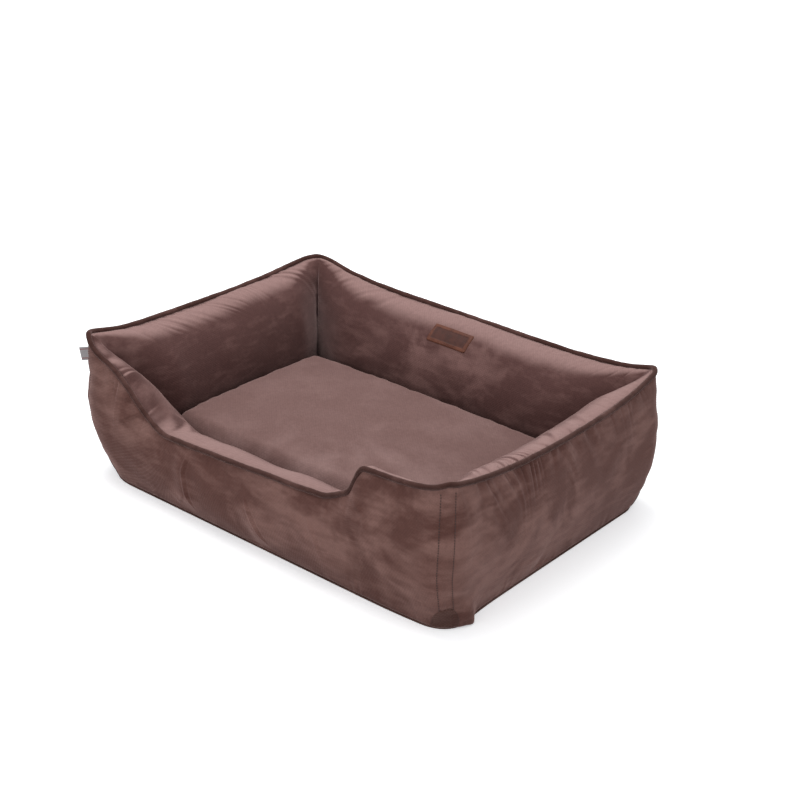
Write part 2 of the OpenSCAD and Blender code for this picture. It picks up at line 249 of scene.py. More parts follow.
def wallPoint(side, t, n, z):
    # t along the wall from -1 to 1, n out from the plane of its rim, z up
    t, n, z = np.broadcast_arrays(np.asarray(t, float), np.asarray(n, float), np.asarray(z, float))
    a = halfAlong(side)
    corner = np.where(t < 0, bed["cornerRound"][side], bed["cornerRound"][(side + 1) % 4])
    foot = np.where(t < 0, bed["footRound"][side], bed["footRound"][(side + 1) % 4])
    corner = corner + foot * (1 - z / cornerHeight)
    r = np.maximum(corner + n, bed["innerRound"] * smooth(0, -bed["innerRound"], n))
    run = a + n - (1 - math.sqrt(0.5)) * r
    s = np.sign(t) * (a * np.abs(t) + (run - a) * np.abs(t) ** 2.5)
    d = a + n - np.abs(s)
    o = halfAcross(side) + n - np.where(d < r, r - np.sqrt(np.maximum(r * r - (r - d) ** 2, 0)), 0)
    x, y = [(s, -o), (o, s), (-s, o), (-o, -s)][side]
    return drifted(np.stack([x, y, z], axis=-1))


def drifted(points):
    # the soft corners aren't all alike: one ear stands out, one foot is turned aside
    x, y, z = np.moveaxis(points, -1, 0)
    ear = bed["ear"] * np.exp(-((x + halfLength) ** 2 + (y + halfWidth) ** 2) / bed["earReach"] ** 2)
    ear = ear * smooth(cornerHeight - bed["earDrop"], cornerHeight, z) * math.sqrt(0.5)
    turn = np.exp(-((x - halfLength) ** 2 + (y + halfWidth) ** 2) / 0.0064) * smooth(0.12, 0, z)
    out = np.stack([x - ear + turn * bed["footTurn"][0], y - ear + turn * bed["footTurn"][1], z + 0.5 * ear],
                   axis=-1)
    bulge = np.sin(np.pi * np.clip(z / 0.2, 0, 1)) * math.sqrt(0.5)
    for (sx, sy), belly in zip(cornerSigns, bed["belly"]):
        near = np.exp(-((x - sx * halfLength) ** 2 + (y - sy * halfWidth) ** 2) / bed["bellyReach"] ** 2)
        out += (belly * near * bulge)[..., None] * [sx, sy, 0]
    return out


def outerOut(t, z, top):
    v = (z - bed["foot"]) / (top - bed["foot"])
    return mix(-bed["footInset"], bowOut(t), v) + bed["bulge"] * np.sin(np.pi * np.clip(v, 0, 1))


walls = {
    "cell": 0.008,            # grid before the simulation
    "outerCells": 34,
    "bottomCells": 8,
    "innerCells": 40,
    "ease": 0.03,             # spare cloth along each wall
    "pressure": 3.0,
    "frames": 24,
    "cap": 0.013,
}


def resampled(line, count):
    # line is a list of (n, z) arrays along a section, for every place along the wall at once
    line = np.stack(line, axis=1)
    step = np.linalg.norm(np.diff(line, axis=1), axis=2)
    length = np.concatenate([np.zeros((len(line), 1)), np.cumsum(step, axis=1)], axis=1)
    out = np.empty((len(line), count + 1, 2))
    for i, (row, l) in enumerate(zip(line, length)):
        even = np.linspace(0, l[-1], count + 1)
        out[i, :, 0] = np.interp(even, l, row[:, 0])
        out[i, :, 1] = np.interp(even, l, row[:, 1])
    return out


def profileAt(side, t):
    # thickness, fat height and fullness, the same for both walls at a corner
    toEnd = smooth(0.62, 1, np.abs(t))
    own = bed["thickness"][side], bed["fatHeight"][side], bed["fullness"][side]
    return [mix(a, b, toEnd) for a, b in zip(own, bed["endProfile"])]


def rolledTop(side, t, edge, thick, top, q):
    # from the rim at q = 0 over and in to the fattest place at a quarter turn
    fat, fullness = profileAt(side, t)[1:]
    power = 2 / fullness
    return edge - (edge + thick) * math.sin(q) ** power, fat + (top - fat) * math.cos(q) ** power


def wallSection(side, t):
    # closed section: rim, down the outside, along the bottom, up the inside
    top = rimHeight(side, t)
    edge = bowOut(t)
    thick, fat = profileAt(side, t)[:2]
    toEnd = np.clip(1 - (1 - np.abs(t)) * halfAlong(side) / bed["endReach"], 0, 1)
    thick = thick * (1 - bed["endTuck"] * (1 - np.sqrt(1 - toEnd ** 2)))
    outer = []
    for v in np.linspace(1, 0, 60):
        z = mix(bed["foot"], top, v)
        outer.append(np.stack([outerOut(t, z, top), z], axis=-1))
    foot = -thick + bed["recess"]
    inset, ground = np.full_like(t, -bed["footInset"]), np.full_like(t, bed["foot"])
    bottom = [np.stack([mix(inset, foot, f), ground], axis=-1) for f in (0, 1)]
    inner = []
    for w in np.linspace(1, 0, 20):
        inner.append(np.stack([-thick + bed["recess"] * w ** 1.25, mix(fat, bed["foot"], w)], axis=-1))
    for q in np.linspace(math.pi / 2, 0, 50)[1:]:
        inner.append(np.stack(rolledTop(side, t, edge, thick, top, q), axis=-1))
    parts = [resampled(outer, walls["outerCells"])[:, :-1],
             resampled(bottom, walls["bottomCells"])[:, :-1],
             resampled(inner, walls["innerCells"])[:, :-1]]
    return np.concatenate(parts, axis=1)


def wallGrid(side):
    rows = 2 * round(halfAlong(side) / walls["cell"]) + 1
    t = np.linspace(-1, 1, rows)
    section = wallSection(side, t)
    return wallPoint(side, t[:, None], section[:, :, 0], section[:, :, 1])


def clothPiece(name, points, loop, pinned, rest):
    # a temporary cloth object; rest holds the cut cloth's points
    rows, columns = points.shape[:2]
    obj = meshObject(name, points.reshape(-1, 3), gridFaces(rows, columns, loop))
    obj.shape_key_add(name="Basis")
    cut = obj.shape_key_add(name="cut")
    cut.data.foreach_set("co", rest.reshape(-1))
    seams = obj.vertex_groups.new(name="seams")
    seams.add([int(i) for i in np.flatnonzero(pinned.ravel())], 1, "REPLACE")
    cloth = obj.modifiers.new("Cloth", "CLOTH")
    settings = cloth.settings
    settings.quality = 5
    settings.mass = 0.3
    settings.tension_stiffness = 15
    settings.compression_stiffness = 15
    settings.shear_stiffness = 5
    settings.bending_stiffness = 0.5
    settings.vertex_group_mass = "seams"
    settings.rest_shape_key = cut
    settings.use_pressure = True
    settings.uniform_pressure_force = walls["pressure"]
    settings.effector_weights.gravity = 0
    cloth.point_cache.frame_start = 1
    cloth.point_cache.frame_end = walls["frames"]
    return obj


def simulated(pieces):
    # steps all the cloth at once and gives back each grid's points, moved no further than its cap
    for number in range(1, walls["frames"] + 1):
        scene.frame_set(number)
    graph = bpy.context.evaluated_depsgraph_get()
    out = []
    for obj, points, cap in pieces:
        moved = np.empty(points.size)
        obj.evaluated_get(graph).data.vertices.foreach_get("co", moved)
        move = moved.reshape(points.shape) - points
        size = np.linalg.norm(move, axis=2, keepdims=True)
        out.append(points + move * (cap * np.tanh(size / cap) / np.maximum(size, 1e-9)))
        mesh = obj.data
        bpy.data.objects.remove(obj)
        bpy.data.meshes.remove(mesh)
    scene.frame_set(1)
    return out


wallZip = {
    "height": 0.036,
    "halfBand": 0.017,
    "halfLength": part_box("wall_zip_tape_upper")[1][0],
    "sink": 0.002,
}


def zipBand(points):
    # 1 where the back wall lies behind its zip, falling to 0 round it
    x, y, z = np.moveaxis(points, -1, 0)
    band, length = wallZip["halfBand"], wallZip["halfLength"]
    high = smooth(band + 0.012, band, np.abs(z - wallZip["height"]))
    return high * smooth(length + 0.03, length + 0.006, np.abs(x)) * (y > halfWidth - 0.03)


grids = [wallGrid(side) for side in range(4)]
grids[back][..., 1] -= wallZip["sink"] * zipBand(grids[back])

# The loose cushion: a top and a bottom grid that share their border, the seam
cushionLow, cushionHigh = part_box("cushion_fill")
cushion = {
    "seamHeight": 0.0536,
    "foot": cushionLow[2] - 0.003,
    "halfLength": cushionHigh[0] + 0.0035,
    "halfDepth": (cushionHigh[1] - cushionLow[1]) / 2 + 0.0035,
    "middle": (cushionHigh[1] + cushionLow[1]) / 2,
    "top": 0.1275,            # height of the flat before its crown
    "crown": 0.012,
    "edge": 0.03,
    "edgePower": 2.6,
    "swell": 0.007,
    "cornerPower": 6,
    "cornerCut": 0.012,
    "edgeCells": 12,
    "cell": 0.008,
}


def edgePlaces(half):
    # distances from the border, close together on the rounded edge
    q = np.linspace(0, math.pi / 2, cushion["edgeCells"] + 1)
    edge = cushion["edge"] * (1 - np.cos(q))
    flat = np.linspace(cushion["edge"], half, round((half - cushion["edge"]) / cushion["cell"]) + 1)[1:]
    inward = np.concatenate([edge, flat])
    return np.concatenate([-half + inward, (half - inward)[::-1][1:]])


def cushionGrid(way):
    halfX, halfY = cushion["halfLength"], cushion["halfDepth"]
    x, y = np.meshgrid(edgePlaces(halfX), edgePlaces(halfY), indexing="ij")
    a, b = np.abs(x) / halfX, np.abs(y) / halfY
    squeeze = (a * b) ** cushion["cornerPower"]
    power = cushion["edgePower"]
    rise = lambda e: (1 - np.clip(1 - e / cushion["edge"], 0, 1) ** power) ** (1 / power)
    risen = rise(halfX * (1 - a)) * rise(halfY * (1 - b))
    crown = cushion["crown"] * (1 - a ** 3) * (1 - b ** 3)
    if way > 0:
        height = (cushion["top"] - cushion["seamHeight"]) * risen + crown * risen
    else:
        height = -(cushion["seamHeight"] - cushion["foot"]) * risen
    swell = cushion["swell"] * np.sin(np.pi * np.clip(risen, 0, 1)) * (0.5 + 0.5 * way)
    px = np.sign(x) * (np.abs(x) - cushion["cornerCut"] * squeeze + swell * smooth(0.8, 1, a))
    py = np.sign(y) * (np.abs(y) - cushion["cornerCut"] * squeeze + swell * smooth(0.8, 1, b))
    return np.stack([px, py + cushion["middle"], cushion["seamHeight"] + height], axis=-1)


cushionTop = cushionGrid(1)
cushionBottom = cushionGrid(-1)

pieces = []
for side, grid in enumerate(grids):
    rows, columns = grid.shape[:2]
    pinned = np.zeros((rows, columns), bool)
    pinned[[0, -1], :] = True
    pinned[:, 0] = True
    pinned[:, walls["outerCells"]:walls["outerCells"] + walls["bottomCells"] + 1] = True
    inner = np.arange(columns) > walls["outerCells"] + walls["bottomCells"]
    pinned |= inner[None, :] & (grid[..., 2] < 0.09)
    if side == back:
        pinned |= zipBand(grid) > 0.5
    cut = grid.copy()
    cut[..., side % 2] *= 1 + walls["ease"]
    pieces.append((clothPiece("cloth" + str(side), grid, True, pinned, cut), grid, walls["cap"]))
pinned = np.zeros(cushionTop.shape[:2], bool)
pinned[[0, -1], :] = True
pinned[:, [0, -1]] = True
cut = cushionTop.copy()
cut[..., :2] *= 1.02
pieces.append((clothPiece("clothCushion", cushionTop, False, pinned, cut), cushionTop, 0.006))
results = simulated(pieces)
grids, cushionTop = results[:4], results[4]
print("cloth simulated")

grids = [moreRows(finer(grid, True)) for grid in grids]
cushionTop, cushionBottom = finer(cushionTop, False), finer(cushionBottom, False)


topstitch = {"offset": 0.010, "pitch": 0.0046, "thread": 0.0009, "length": 0.0038}
folds = {
    "rimGather": 0.0012,      # puckers under the piping
    "rimPeriod": 0.011,
    "rimReach": 0.03,
    "lean": (0.2, -0.4, -0.45, 0.5),    # how each wall's puckers slant
    "inside": (0.8, 0.8, 0.9, 1.0),     # share of the puckers on each wall's inner side
    "footGather": 0.0012,
    "lump": 0.0026,           # uneven stuffing
    "lumpPeriod": 0.085,
    "seamGather": 0.0018,     # puckers beside the corner seams
    "seamDip": 0.0012,
    "rimDip": 0.0022,         # the cloth sinks beside the piping
    "dogEar": 0.015,          # the folded spare cloth at the front right foot
}

# Stretches of each rim where the cloth is gathered more: from, full from, full to, to, how much
gathered = {
    front: [(-0.40, -0.37, -0.27, -0.23, 0.0050), (0.24, 0.3, 0.36, 0.4, 0.0015)],
    right: [(-0.29, -0.24, 0.02, 0.15, 0.0085), (0.0, 0.1, 0.22, 0.28, 0.0025)],
    back: [(-0.4, -0.36, -0.2, -0.1, 0.0016), (0.0, 0.1, 0.36, 0.4, 0.0030)],
    left: [(-0.29, -0.26, -0.2, -0.1, 0.0045), (-0.2, -0.1, 0.15, 0.25, 0.0030)],
}

# Pleats in the outside of each wall: the line they follow, width and depth
pleats = {
    front: [(((-0.136, 0.152), (-0.150, 0.101), (-0.147, 0.055), (-0.138, 0.018)), 0.0026, 0.0049),
            (((-0.151, 0.055), (-0.172, 0.030), (-0.186, 0.018)), 0.0024, 0.0027),
            (((-0.002, 0.112), (0.016, 0.067), (0.042, 0.012)), 0.0026, 0.0044),
            (((-0.262, 0.184), (-0.295, 0.188), (-0.335, 0.186)), 0.0025, 0.0032),
            (((-0.250, 0.178), (-0.290, 0.158), (-0.332, 0.124)), 0.0030, 0.0036),
            (((-0.305, 0.207), (-0.335, 0.212), (-0.368, 0.208)), 0.0022, 0.0025),
            (((-0.318, 0.219), (-0.345, 0.229), (-0.372, 0.232)), 0.0022, 0.0023),
            (((0.352, 0.236), (0.377, 0.231), (0.405, 0.233)), 0.0021, 0.0019),
            (((0.362, 0.213), (0.384, 0.207), (0.408, 0.208)), 0.0021, 0.0017),
            (((0.232, 0.205), (0.262, 0.176), (0.275, 0.130)), 0.0037, 0.0025),
            (((0.135, 0.135), (0.160, 0.095), (0.172, 0.045)), 0.0040, 0.0019)],
    right: [(((-0.120, 0.060), (-0.080, 0.045), (-0.030, 0.040)), 0.0037, 0.0019)],
    back: [(((-0.220, 0.200), (-0.190, 0.150), (-0.165, 0.110)), 0.0037, 0.0029),
           (((0.100, 0.205), (0.118, 0.170), (0.125, 0.130)), 0.0037, 0.0025),
           (((0.290, 0.210), (0.270, 0.160), (0.262, 0.110)), 0.0037, 0.0023)],
    left: [(((0.100, 0.200), (0.125, 0.150), (0.135, 0.100)), 0.0037, 0.0027),
           (((-0.150, 0.190), (-0.130, 0.145), (-0.126, 0.095)), 0.0037, 0.0025)],
}


def arcLengths(points):
    # distance along each row's line from the first row
    step = np.linalg.norm(np.diff(points, axis=0), axis=2)
    return np.concatenate([np.zeros((1, points.shape[1])), np.cumsum(step, axis=0)])


def pleat(along, height, path, width, depth):
    # a raised edge with a deep line beside it, following the path and fading at its ends
    nearest = np.full(along.shape, 9.0)
    off, reached = np.zeros_like(along), np.zeros_like(along)
    for k, ((ax, az), (bx, bz)) in enumerate(zip(path[:-1], path[1:])):
        dx, dz = bx - ax, bz - az
        length = math.hypot(dx, dz)
        f = np.clip(((along - ax) * dx + (height - az) * dz) / length ** 2, 0, 1)
        far = np.hypot(along - ax - f * dx, height - az - f * dz)
        closer = far < nearest
        nearest = np.where(closer, far, nearest)
        off = np.where(closer, far * np.sign((along - ax) * dz - (height - az) * dx), off)
        reached = np.where(closer, (k + f) / (len(path) - 1), reached)
    fade = smooth(0, 0.3, reached) * smooth(1, 0.65, reached)
    edge = np.exp(-((off - width) / (1.1 * width)) ** 2)
    line = np.exp(-((off + 0.9 * width) / width) ** 2)
    full = np.exp(-((off - 4 * width) / (6 * width)) ** 2)
    return fade * depth * (0.5 * edge - 0.3 * line + 0.75 * full)


def gatherOf(side, along):
    much = folds["rimGather"] * (1 + 0.5 * ripple(along, side + 11, 0.09))
    for start, fullStart, fullEnd, end, more in gathered[side]:
        much = much + more * smooth(start, fullStart, along) * smooth(end, fullEnd, along)
    return much


def workedWall(side, points):
    rimColumn = 2 * walls["outerCells"]
    footColumn = rimColumn + 2 * walls["bottomCells"]
    along = (points[..., 0], points[..., 1], -points[..., 0], -points[..., 1])[side]
    height = points[..., 2]
    run = arcLengths(points)
    fromSeam = np.minimum(run, run[-1] - run)
    columns = arcLengths(np.swapaxes(np.concatenate([points, points[:, :1]], axis=1), 0, 1)).T
    outside = np.arange(points.shape[1]) <= rimColumn
    inside = np.arange(points.shape[1]) >= footColumn
    fromRim = np.where(outside, columns[:, :-1], columns[:, -1:] - columns[:, :-1])
    fromFoot = np.where(outside, columns[:, rimColumn:rimColumn + 1] - columns[:, :-1], 1)
    fan = along + fromRim * (folds["lean"][side] + 0.35 * ripple(along, side + 40, 0.05))
    puffs = np.abs(ripple(fan, side + 1, folds["rimPeriod"])) ** 0.7 - 0.5
    reach = folds["rimReach"] * (1 + 0.5 * ripple(along, side + 12, 0.04))
    share = np.where(outside, 1, folds["inside"][side])
    move = gatherOf(side, along) * share * puffs * np.exp(-fromRim / reach)
    move += folds["footGather"] * ripple(fan, side + 5, 0.016) * np.exp(-fromFoot / 0.025)
    move += folds["lump"] * lumps(along + 3 * side, height + 0.7 * outside, side + 20, folds["lumpPeriod"])
    move += 0.4 * folds["lump"] * lumps(along, height + 0.7 * outside, side + 30, 0.4 * folds["lumpPeriod"])
    drift = height + 0.3 * fromSeam * ripple(height, side + 50, 0.05)
    move += folds["seamGather"] * ripple(drift, side + 60, 0.014) * np.exp(-fromSeam / 0.022)
    move -= outside * folds["seamDip"] * np.exp(-((fromSeam - topstitch["offset"]) / 0.0028) ** 2)
    for path, width, depth in pleats[side]:
        move += outside * pleat(along, height, path, width, depth)
    move *= smooth(0, 0.007, fromRim) * smooth(0, 0.007, fromSeam) * (outside | inside)
    move -= outside * folds["seamDip"] * np.exp(-(fromSeam / 0.0035) ** 2) * smooth(0, 0.02, fromRim)
    if side == right:
        fromCorner = along + halfWidth
        ridge = np.exp(-((fromCorner - 0.066 + 0.3 * height) / 0.018) ** 2)
        dogEar = outside * folds["dogEar"] * ridge * smooth(0.065, 0.01, height)
    else:
        dogEar = 0
        puff = np.exp(-((along - 0.09) / 0.07) ** 2) * np.exp(-((fromRim - 0.022) / 0.016) ** 2)
        move += outside * (side == left) * 0.008 * puff
    move = move * np.where(outside, smooth(0, 0.008, fromFoot), 1) + dogEar
    if side == back:
        move *= 1 - zipBand(points)
    outward = gridNormals(points, True)
    middle = points.mean(axis=1, keepdims=True)
    facing = np.sign(((points - middle) * outward).sum(axis=(0, 1, 2)))
    worked = points + facing * outward * move[..., None]
    rim = worked[:-1, 0].copy()
    worked[..., 2] -= folds["rimDip"] * np.exp(-(fromRim / 0.006) ** 2)
    worked[..., 2] = np.maximum(worked[..., 2], 0.0014)
    return worked, rim, run, columns


def wallPiece(side, points, run, columns):
    rows, count = points.shape[:2]
    faces = gridFaces(rows, count, True)
    caps = [tuple(range(count)), tuple((rows - 1) * count + j for j in reversed(range(count)))]
    mesh = bpy.data.meshes.new("wall_" + sideNames[side])
    mesh.from_pydata(points.reshape(-1, 3).tolist(), [], faces + caps)
    shadeSmooth(mesh)
    layer = mesh.uv_layers.new(name="cloth")
    v = columns
    u = np.concatenate([run, run[:, :1]], axis=1)
    flat = np.stack([u, v], axis=-1)
    uv = np.zeros((len(mesh.loops), 2))
    i, j = np.meshgrid(np.arange(rows - 1), np.arange(count), indexing="ij")
    quads = np.stack([flat[i, j], flat[i, j + 1], flat[i + 1, j + 1], flat[i + 1, j]], axis=2)
    uv[:quads.size // 2] = quads.reshape(-1, 2)
    layer.data.foreach_set("uv", uv.ravel())
    panel = np.zeros(len(mesh.polygons), int)
    panel[:j.size] = (j > 2 * (walls["outerCells"] + walls["bottomCells"])).ravel()
    mesh.polygons.foreach_set("material_index", panel)
    edges = np.empty(2 * len(mesh.edges), int)
    mesh.edges.foreach_get("vertices", edges)
    edges = edges.reshape(-1, 2)
    row, column = edges // count, edges % count
    sharp = (column == 0).all(axis=1) | (row == 0).all(axis=1) | (row == rows - 1).all(axis=1)
    mesh.edges.foreach_set("use_edge_sharp", sharp)
    return link(bpy.data.objects.new("wall_" + sideNames[side], mesh))


wallPieces, rimLine = [], []
for side in range(4):
    worked, rim, run, columns = workedWall(side, grids[side])
    wallPieces.append(wallPiece(side, worked, run, columns))
    rimLine.append(rim)
rimLine = np.concatenate(rimLine)
print("walls worked")


def treeOf(objs):
    points, faces = [], []
    for obj in objs:
        start = len(points)
        points += [v.co.copy() for v in obj.data.vertices]
        faces += [[start + k for k in p.vertices] for p in obj.data.polygons if len(p.vertices) == 4]
    return BVHTree.FromPolygons(points, faces)


wallTree = treeOf(wallPieces)


def laidOn(point, lift, outward):
    # the nearest place on the walls, lifted off it
    place, normal, _, _ = wallTree.find_nearest(Vector(point))
    if normal.dot(Vector(outward)) < 0:
        normal = -normal
    return place + normal * lift, normal


def evenLine(points, step):
    # a closed line's points again, evenly spaced
    points = np.asarray(points, float)
    points = np.concatenate([points, points[:1]])
    length = np.concatenate([[0], np.cumsum(np.linalg.norm(np.diff(points, axis=0), axis=1))])
    count = max(2, round(length[-1] / step))
    even = np.linspace(0, length[-1], count + 1)
    out = np.stack([np.interp(even, length, points[:, k]) for k in range(3)], axis=-1)
    return out[:-1]


def eased(points, passes):
    for _ in range(passes):
        points = (np.roll(points, 1, axis=0) + 2 * points + np.roll(points, -1, axis=0)) / 4
    return points


def tube(name, points, radius, sides):
    # closed cord; radius is one number or one for each point
    ahead = np.roll(points, -1, axis=0) - np.roll(points, 1, axis=0)
    ahead /= np.linalg.norm(ahead, axis=1, keepdims=True)
    across = np.cross(ahead, [0, 0, 1])
    across /= np.maximum(np.linalg.norm(across, axis=1, keepdims=True), 1e-6)
    up = np.cross(across, ahead)
    angle = np.linspace(0, 2 * math.pi, sides, endpoint=False)
    r = np.broadcast_to(radius, (len(points),))[:, None, None]
    rings = points[:, None] + r * (np.cos(angle)[None, :, None] * across[:, None]
                                   + np.sin(angle)[None, :, None] * up[:, None])
    rows = len(points)
    faces = gridFaces(rows, sides, True)
    for j in range(sides):
        k = (j + 1) % sides
        faces.append(((rows - 1) * sides + j, (rows - 1) * sides + k, k, j))
    length = np.concatenate([[0], np.cumsum(np.linalg.norm(np.diff(points, axis=0), axis=1))])
    uvs = np.stack([np.repeat(length, sides), np.tile(angle * np.mean(radius), rows)], axis=-1)
    return meshObject(name, rings.reshape(-1, 3), faces, uvs)


piping = {"step": 0.003, "sides": 14, "pucker": 0.05}
pipeLine = eased(evenLine(rimLine, piping["step"]), 3)
pipeOut = pipeLine * [1, 1, 0]
pipeOut /= np.linalg.norm(pipeOut, axis=1, keepdims=True)
pipeRun = np.arange(len(pipeLine)) * piping["step"]
pipeLine = pipeLine + bed["pipingOut"] * pipeOut + [0, 0, bed["pipingUp"]]
pipeLine[:, 2] += 0.0006 * ripple(pipeRun, 71, 0.03)
pipeRadius = bed["pipingRadius"] * (1 + piping["pucker"] * ripple(pipeRun, 72, 0.007))
rimPiping = tube("rim_piping_cord", pipeLine, pipeRadius, piping["sides"])


def stitchMesh(name, seats, length, radius):
    # one bead of thread for each (middle, direction, up)
    points, faces = [], []
    profile = [(-0.5, 0.3), (-0.36, 0.85), (0, 1), (0.36, 0.85), (0.5, 0.3)]
    for middle, ahead, up in seats:
        side = ahead.cross(up).normalized()
        start = len(points)
        for x, r in profile:
            sink = -0.9 * radius * (2 * x) ** 2
            for k in range(6):
                q = math.pi * k / 3
                points.append(middle + ahead * (x * length) + side * (radius * r * math.cos(q))
                              + up * (radius * r * math.sin(q) + sink))
        for ring in range(len(profile) - 1):
            for k in range(6):
                a, b = start + 6 * ring + k, start + 6 * ring + (k + 1) % 6
                faces.append((a, b, b + 6, a + 6))
        faces.append(tuple(start + k for k in reversed(range(6))))
        faces.append(tuple(start + 6 * (len(profile) - 1) + k for k in range(6)))
    return meshObject(name, points, faces)


def stitchSeats(line, lift, outward):
    seats = []
    for a, b in zip(line[:-1], line[1:]):
        middle, normal = laidOn((np.asarray(a) + np.asarray(b)) / 2, lift, outward)
        ahead = Vector(b) - Vector(a)
        seats.append((middle, (ahead - normal * ahead.dot(normal)).normalized(), normal))
    return seats


# Twin rows of topstitching down each corner's outer seam
seats = []
for corner, (sx, sy) in enumerate(cornerSigns):
    side = (corner - 1) % 4                      # the wall that ends at this corner
    for way in (-1, 1):
        wall = side if way < 0 else (side + 1) % 4
        t = 1 - topstitch["offset"] / halfAlong(wall)
        t = t if way < 0 else -t
        top = float(rimHeight(wall, np.array(t)))
        z = np.arange(bed["foot"] + 0.004, top - 0.008, topstitch["pitch"])
        line = wallPoint(wall, t, outerOut(t, z, top), z)
        outward = Vector((sx, sy, 0)).normalized()
        seats += stitchSeats(line, 0.0002, outward)
cornerStitches = stitchMesh("corner_topstitching", seats, topstitch["length"], topstitch["thread"])

# One row of small stitches beside the piping, on its inner side
rimStitch = {"inset": 0.0078, "pitch": 0.0052, "thread": 0.0004, "length": 0.003}
stitchLine = evenLine(pipeLine - rimStitch["inset"] * pipeOut, rimStitch["pitch"])
rimSeats = stitchSeats(stitchLine, 0.0001, (0, 0, 1))
rimStitches = stitchMesh("rim_stitching", rimSeats, rimStitch["length"], rimStitch["thread"])


base = {"round": (0.055, 0.068, 0.086, 0.05), "tabReach": 0.024, "tabHeight": 0.046, "tabThickness": 0.0016}
baseLow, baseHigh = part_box("base_panel")


def roundedOutline(halfX, halfY, radii, step):
    return evenLine([(x, y, 0) for x, y in roundedCorners(halfX, halfY, radii, 9)], step)


def sewnSheet(name, outline, low, high, hem):
    # flat cloth panel with a soft rolled edge; rings run from the underside out and over to the top
    middle = (low + high) / 2
    half = (high - low) / 2
    rings = []
    inward = -outline / np.linalg.norm(outline, axis=1, keepdims=True)
    for inset, z in [(hem + 0.004, low + 0.0002), (hem, low), (half, low)]:
        rings.append(outline + inward * inset + [0, 0, z])
    for q in np.radians([-60, -30, 0, 30, 60]):
        rings.append(outline + inward * half * (1 - math.cos(q)) + [0, 0, middle + half * math.sin(q)])
    for inset, z in [(half, high), (hem, high), (hem + 0.004, high - 0.0003)]:
        rings.append(outline + inward * inset + [0, 0, z])
    points = np.stack(rings, axis=0)
    count = len(outline)
    faces = gridFaces(len(rings), count, True)
    faces += [tuple(range(count)), tuple((len(rings) - 1) * count + j for j in reversed(range(count)))]
    flat = points.reshape(-1, 3)
    return meshObject(name, flat, faces, flat[:, :2])


baseOutline = drifted(roundedOutline(baseHigh[0], baseHigh[1], base["round"], 0.008))
basePanel = sewnSheet("base_panel_cloth", baseOutline, baseLow[2], baseHigh[2], 0.012)
floorLow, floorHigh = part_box("floor_panel")
floorHalf = (floorHigh[0] - floorLow[0]) / 2, (floorHigh[1] - floorLow[1]) / 2
floorOutline = roundedOutline(*floorHalf, [0.06] * 4, 0.008)
floorOutline += [0, (floorHigh[1] + floorLow[1]) / 2, 0]
floorCloth = sewnSheet("floor_panel_cloth", floorOutline, floorLow[2], floorHigh[2], 0.015)


def cornerTab(corner, sx, sy):
    # arched flap of the base's cloth, turned up round a corner
    side = (corner - 1) % 4
    across, up = 21, 11
    outward = Vector((sx, sy, 0)).normalized()
    layers = []
    for lift in (0.0003, base["tabThickness"]):
        rows = []
        for i in range(across):
            p = -1 + 2 * i / (across - 1)
            wall = side if p <= 0 else (side + 1) % 4
            t = (1 - abs(p) * base["tabReach"] / halfAlong(wall)) * (1 if p <= 0 else -1)
            arch = mix(0.006, base["tabHeight"], (1 - abs(p) ** 2.2) ** 0.6)
            row = []
            for j in range(up):
                f = j / (up - 1)
                z = mix(baseHigh[2] - 0.001, arch, f)
                top = float(rimHeight(wall, np.array(t)))
                point = wallPoint(wall, t, outerOut(t, z, top), z)
                edge = smooth(1, 0.86, max(abs(p), f))
                away = lift if lift < 0.001 else mix(0.0006, lift, edge)
                place = laidOn(point, away, outward)[0]
                place.z = max(place.z, 0.0008)
                row.append(place)
            rows.append(row)
        layers.append(rows)
    inner, outer = layers
    points = [p for rows in (outer, inner) for row in rows for p in row]
    uvs = [(i * 0.0025, j * 0.0034) for _ in range(2) for i in range(across) for j in range(up)]
    return meshObject("base_tab_" + str(corner), points, doubledFaces(across, up, True), uvs)


cornerTabs = [cornerTab(corner, sx, sy) for corner, (sx, sy) in enumerate(cornerSigns)]
print("base, tabs and stitches made")


def cushionPiece():
    rows, columns = cushionTop.shape[:2]
    top, bottom = cushionTop.copy(), cushionBottom
    fromX = cushion["halfLength"] - np.abs(top[..., 0])
    fromY = cushion["halfDepth"] - np.abs(top[..., 1] - cushion["middle"])
    fromEdge = np.minimum(fromX, fromY)
    run = np.where(fromX < fromY, top[..., 1], top[..., 0])
    rise = smooth(cushion["seamHeight"] + 0.02, cushion["top"], top[..., 2])
    puckers = 0.0016 * ripple(run, 81, 0.016) * np.exp(-((fromEdge - 0.012) / 0.02) ** 2) * rise
    swells = 0.003 * lumps(top[..., 0], top[..., 1], 82, 0.11)
    swells += 0.0011 * lumps(top[..., 0], top[..., 1], 83, 0.045)
    top[..., 2] += puckers + swells * smooth(0.01, 0.06, fromEdge)
    edge = border(rows, columns)
    number = np.arange(rows * columns).reshape(rows, columns)
    below = rows * columns + number
    for i, j in edge:
        below[i, j] = number[i, j]
    faces = []
    for i in range(rows - 1):
        for j in range(columns - 1):
            faces.append((number[i, j], number[i + 1, j], number[i + 1, j + 1], number[i, j + 1]))
            faces.append((below[i, j], below[i, j + 1], below[i + 1, j + 1], below[i + 1, j]))
    points = np.concatenate([top.reshape(-1, 3), bottom.reshape(-1, 3)])
    used = np.zeros(len(points), bool)
    flatFaces = np.array(faces)
    used[flatFaces.ravel()] = True
    renumber = np.cumsum(used) - 1
    points = points[used]
    return meshObject("cushion", points, renumber[flatFaces].tolist(), points[:, :2]), \
        np.array([top[i, j] for i, j in edge])


cushionBody, cushionSeam = cushionPiece()
seamCord = tube("cushion_seam", eased(evenLine(cushionSeam, 0.005), 2), 0.0013, 8)
print("cushion made")


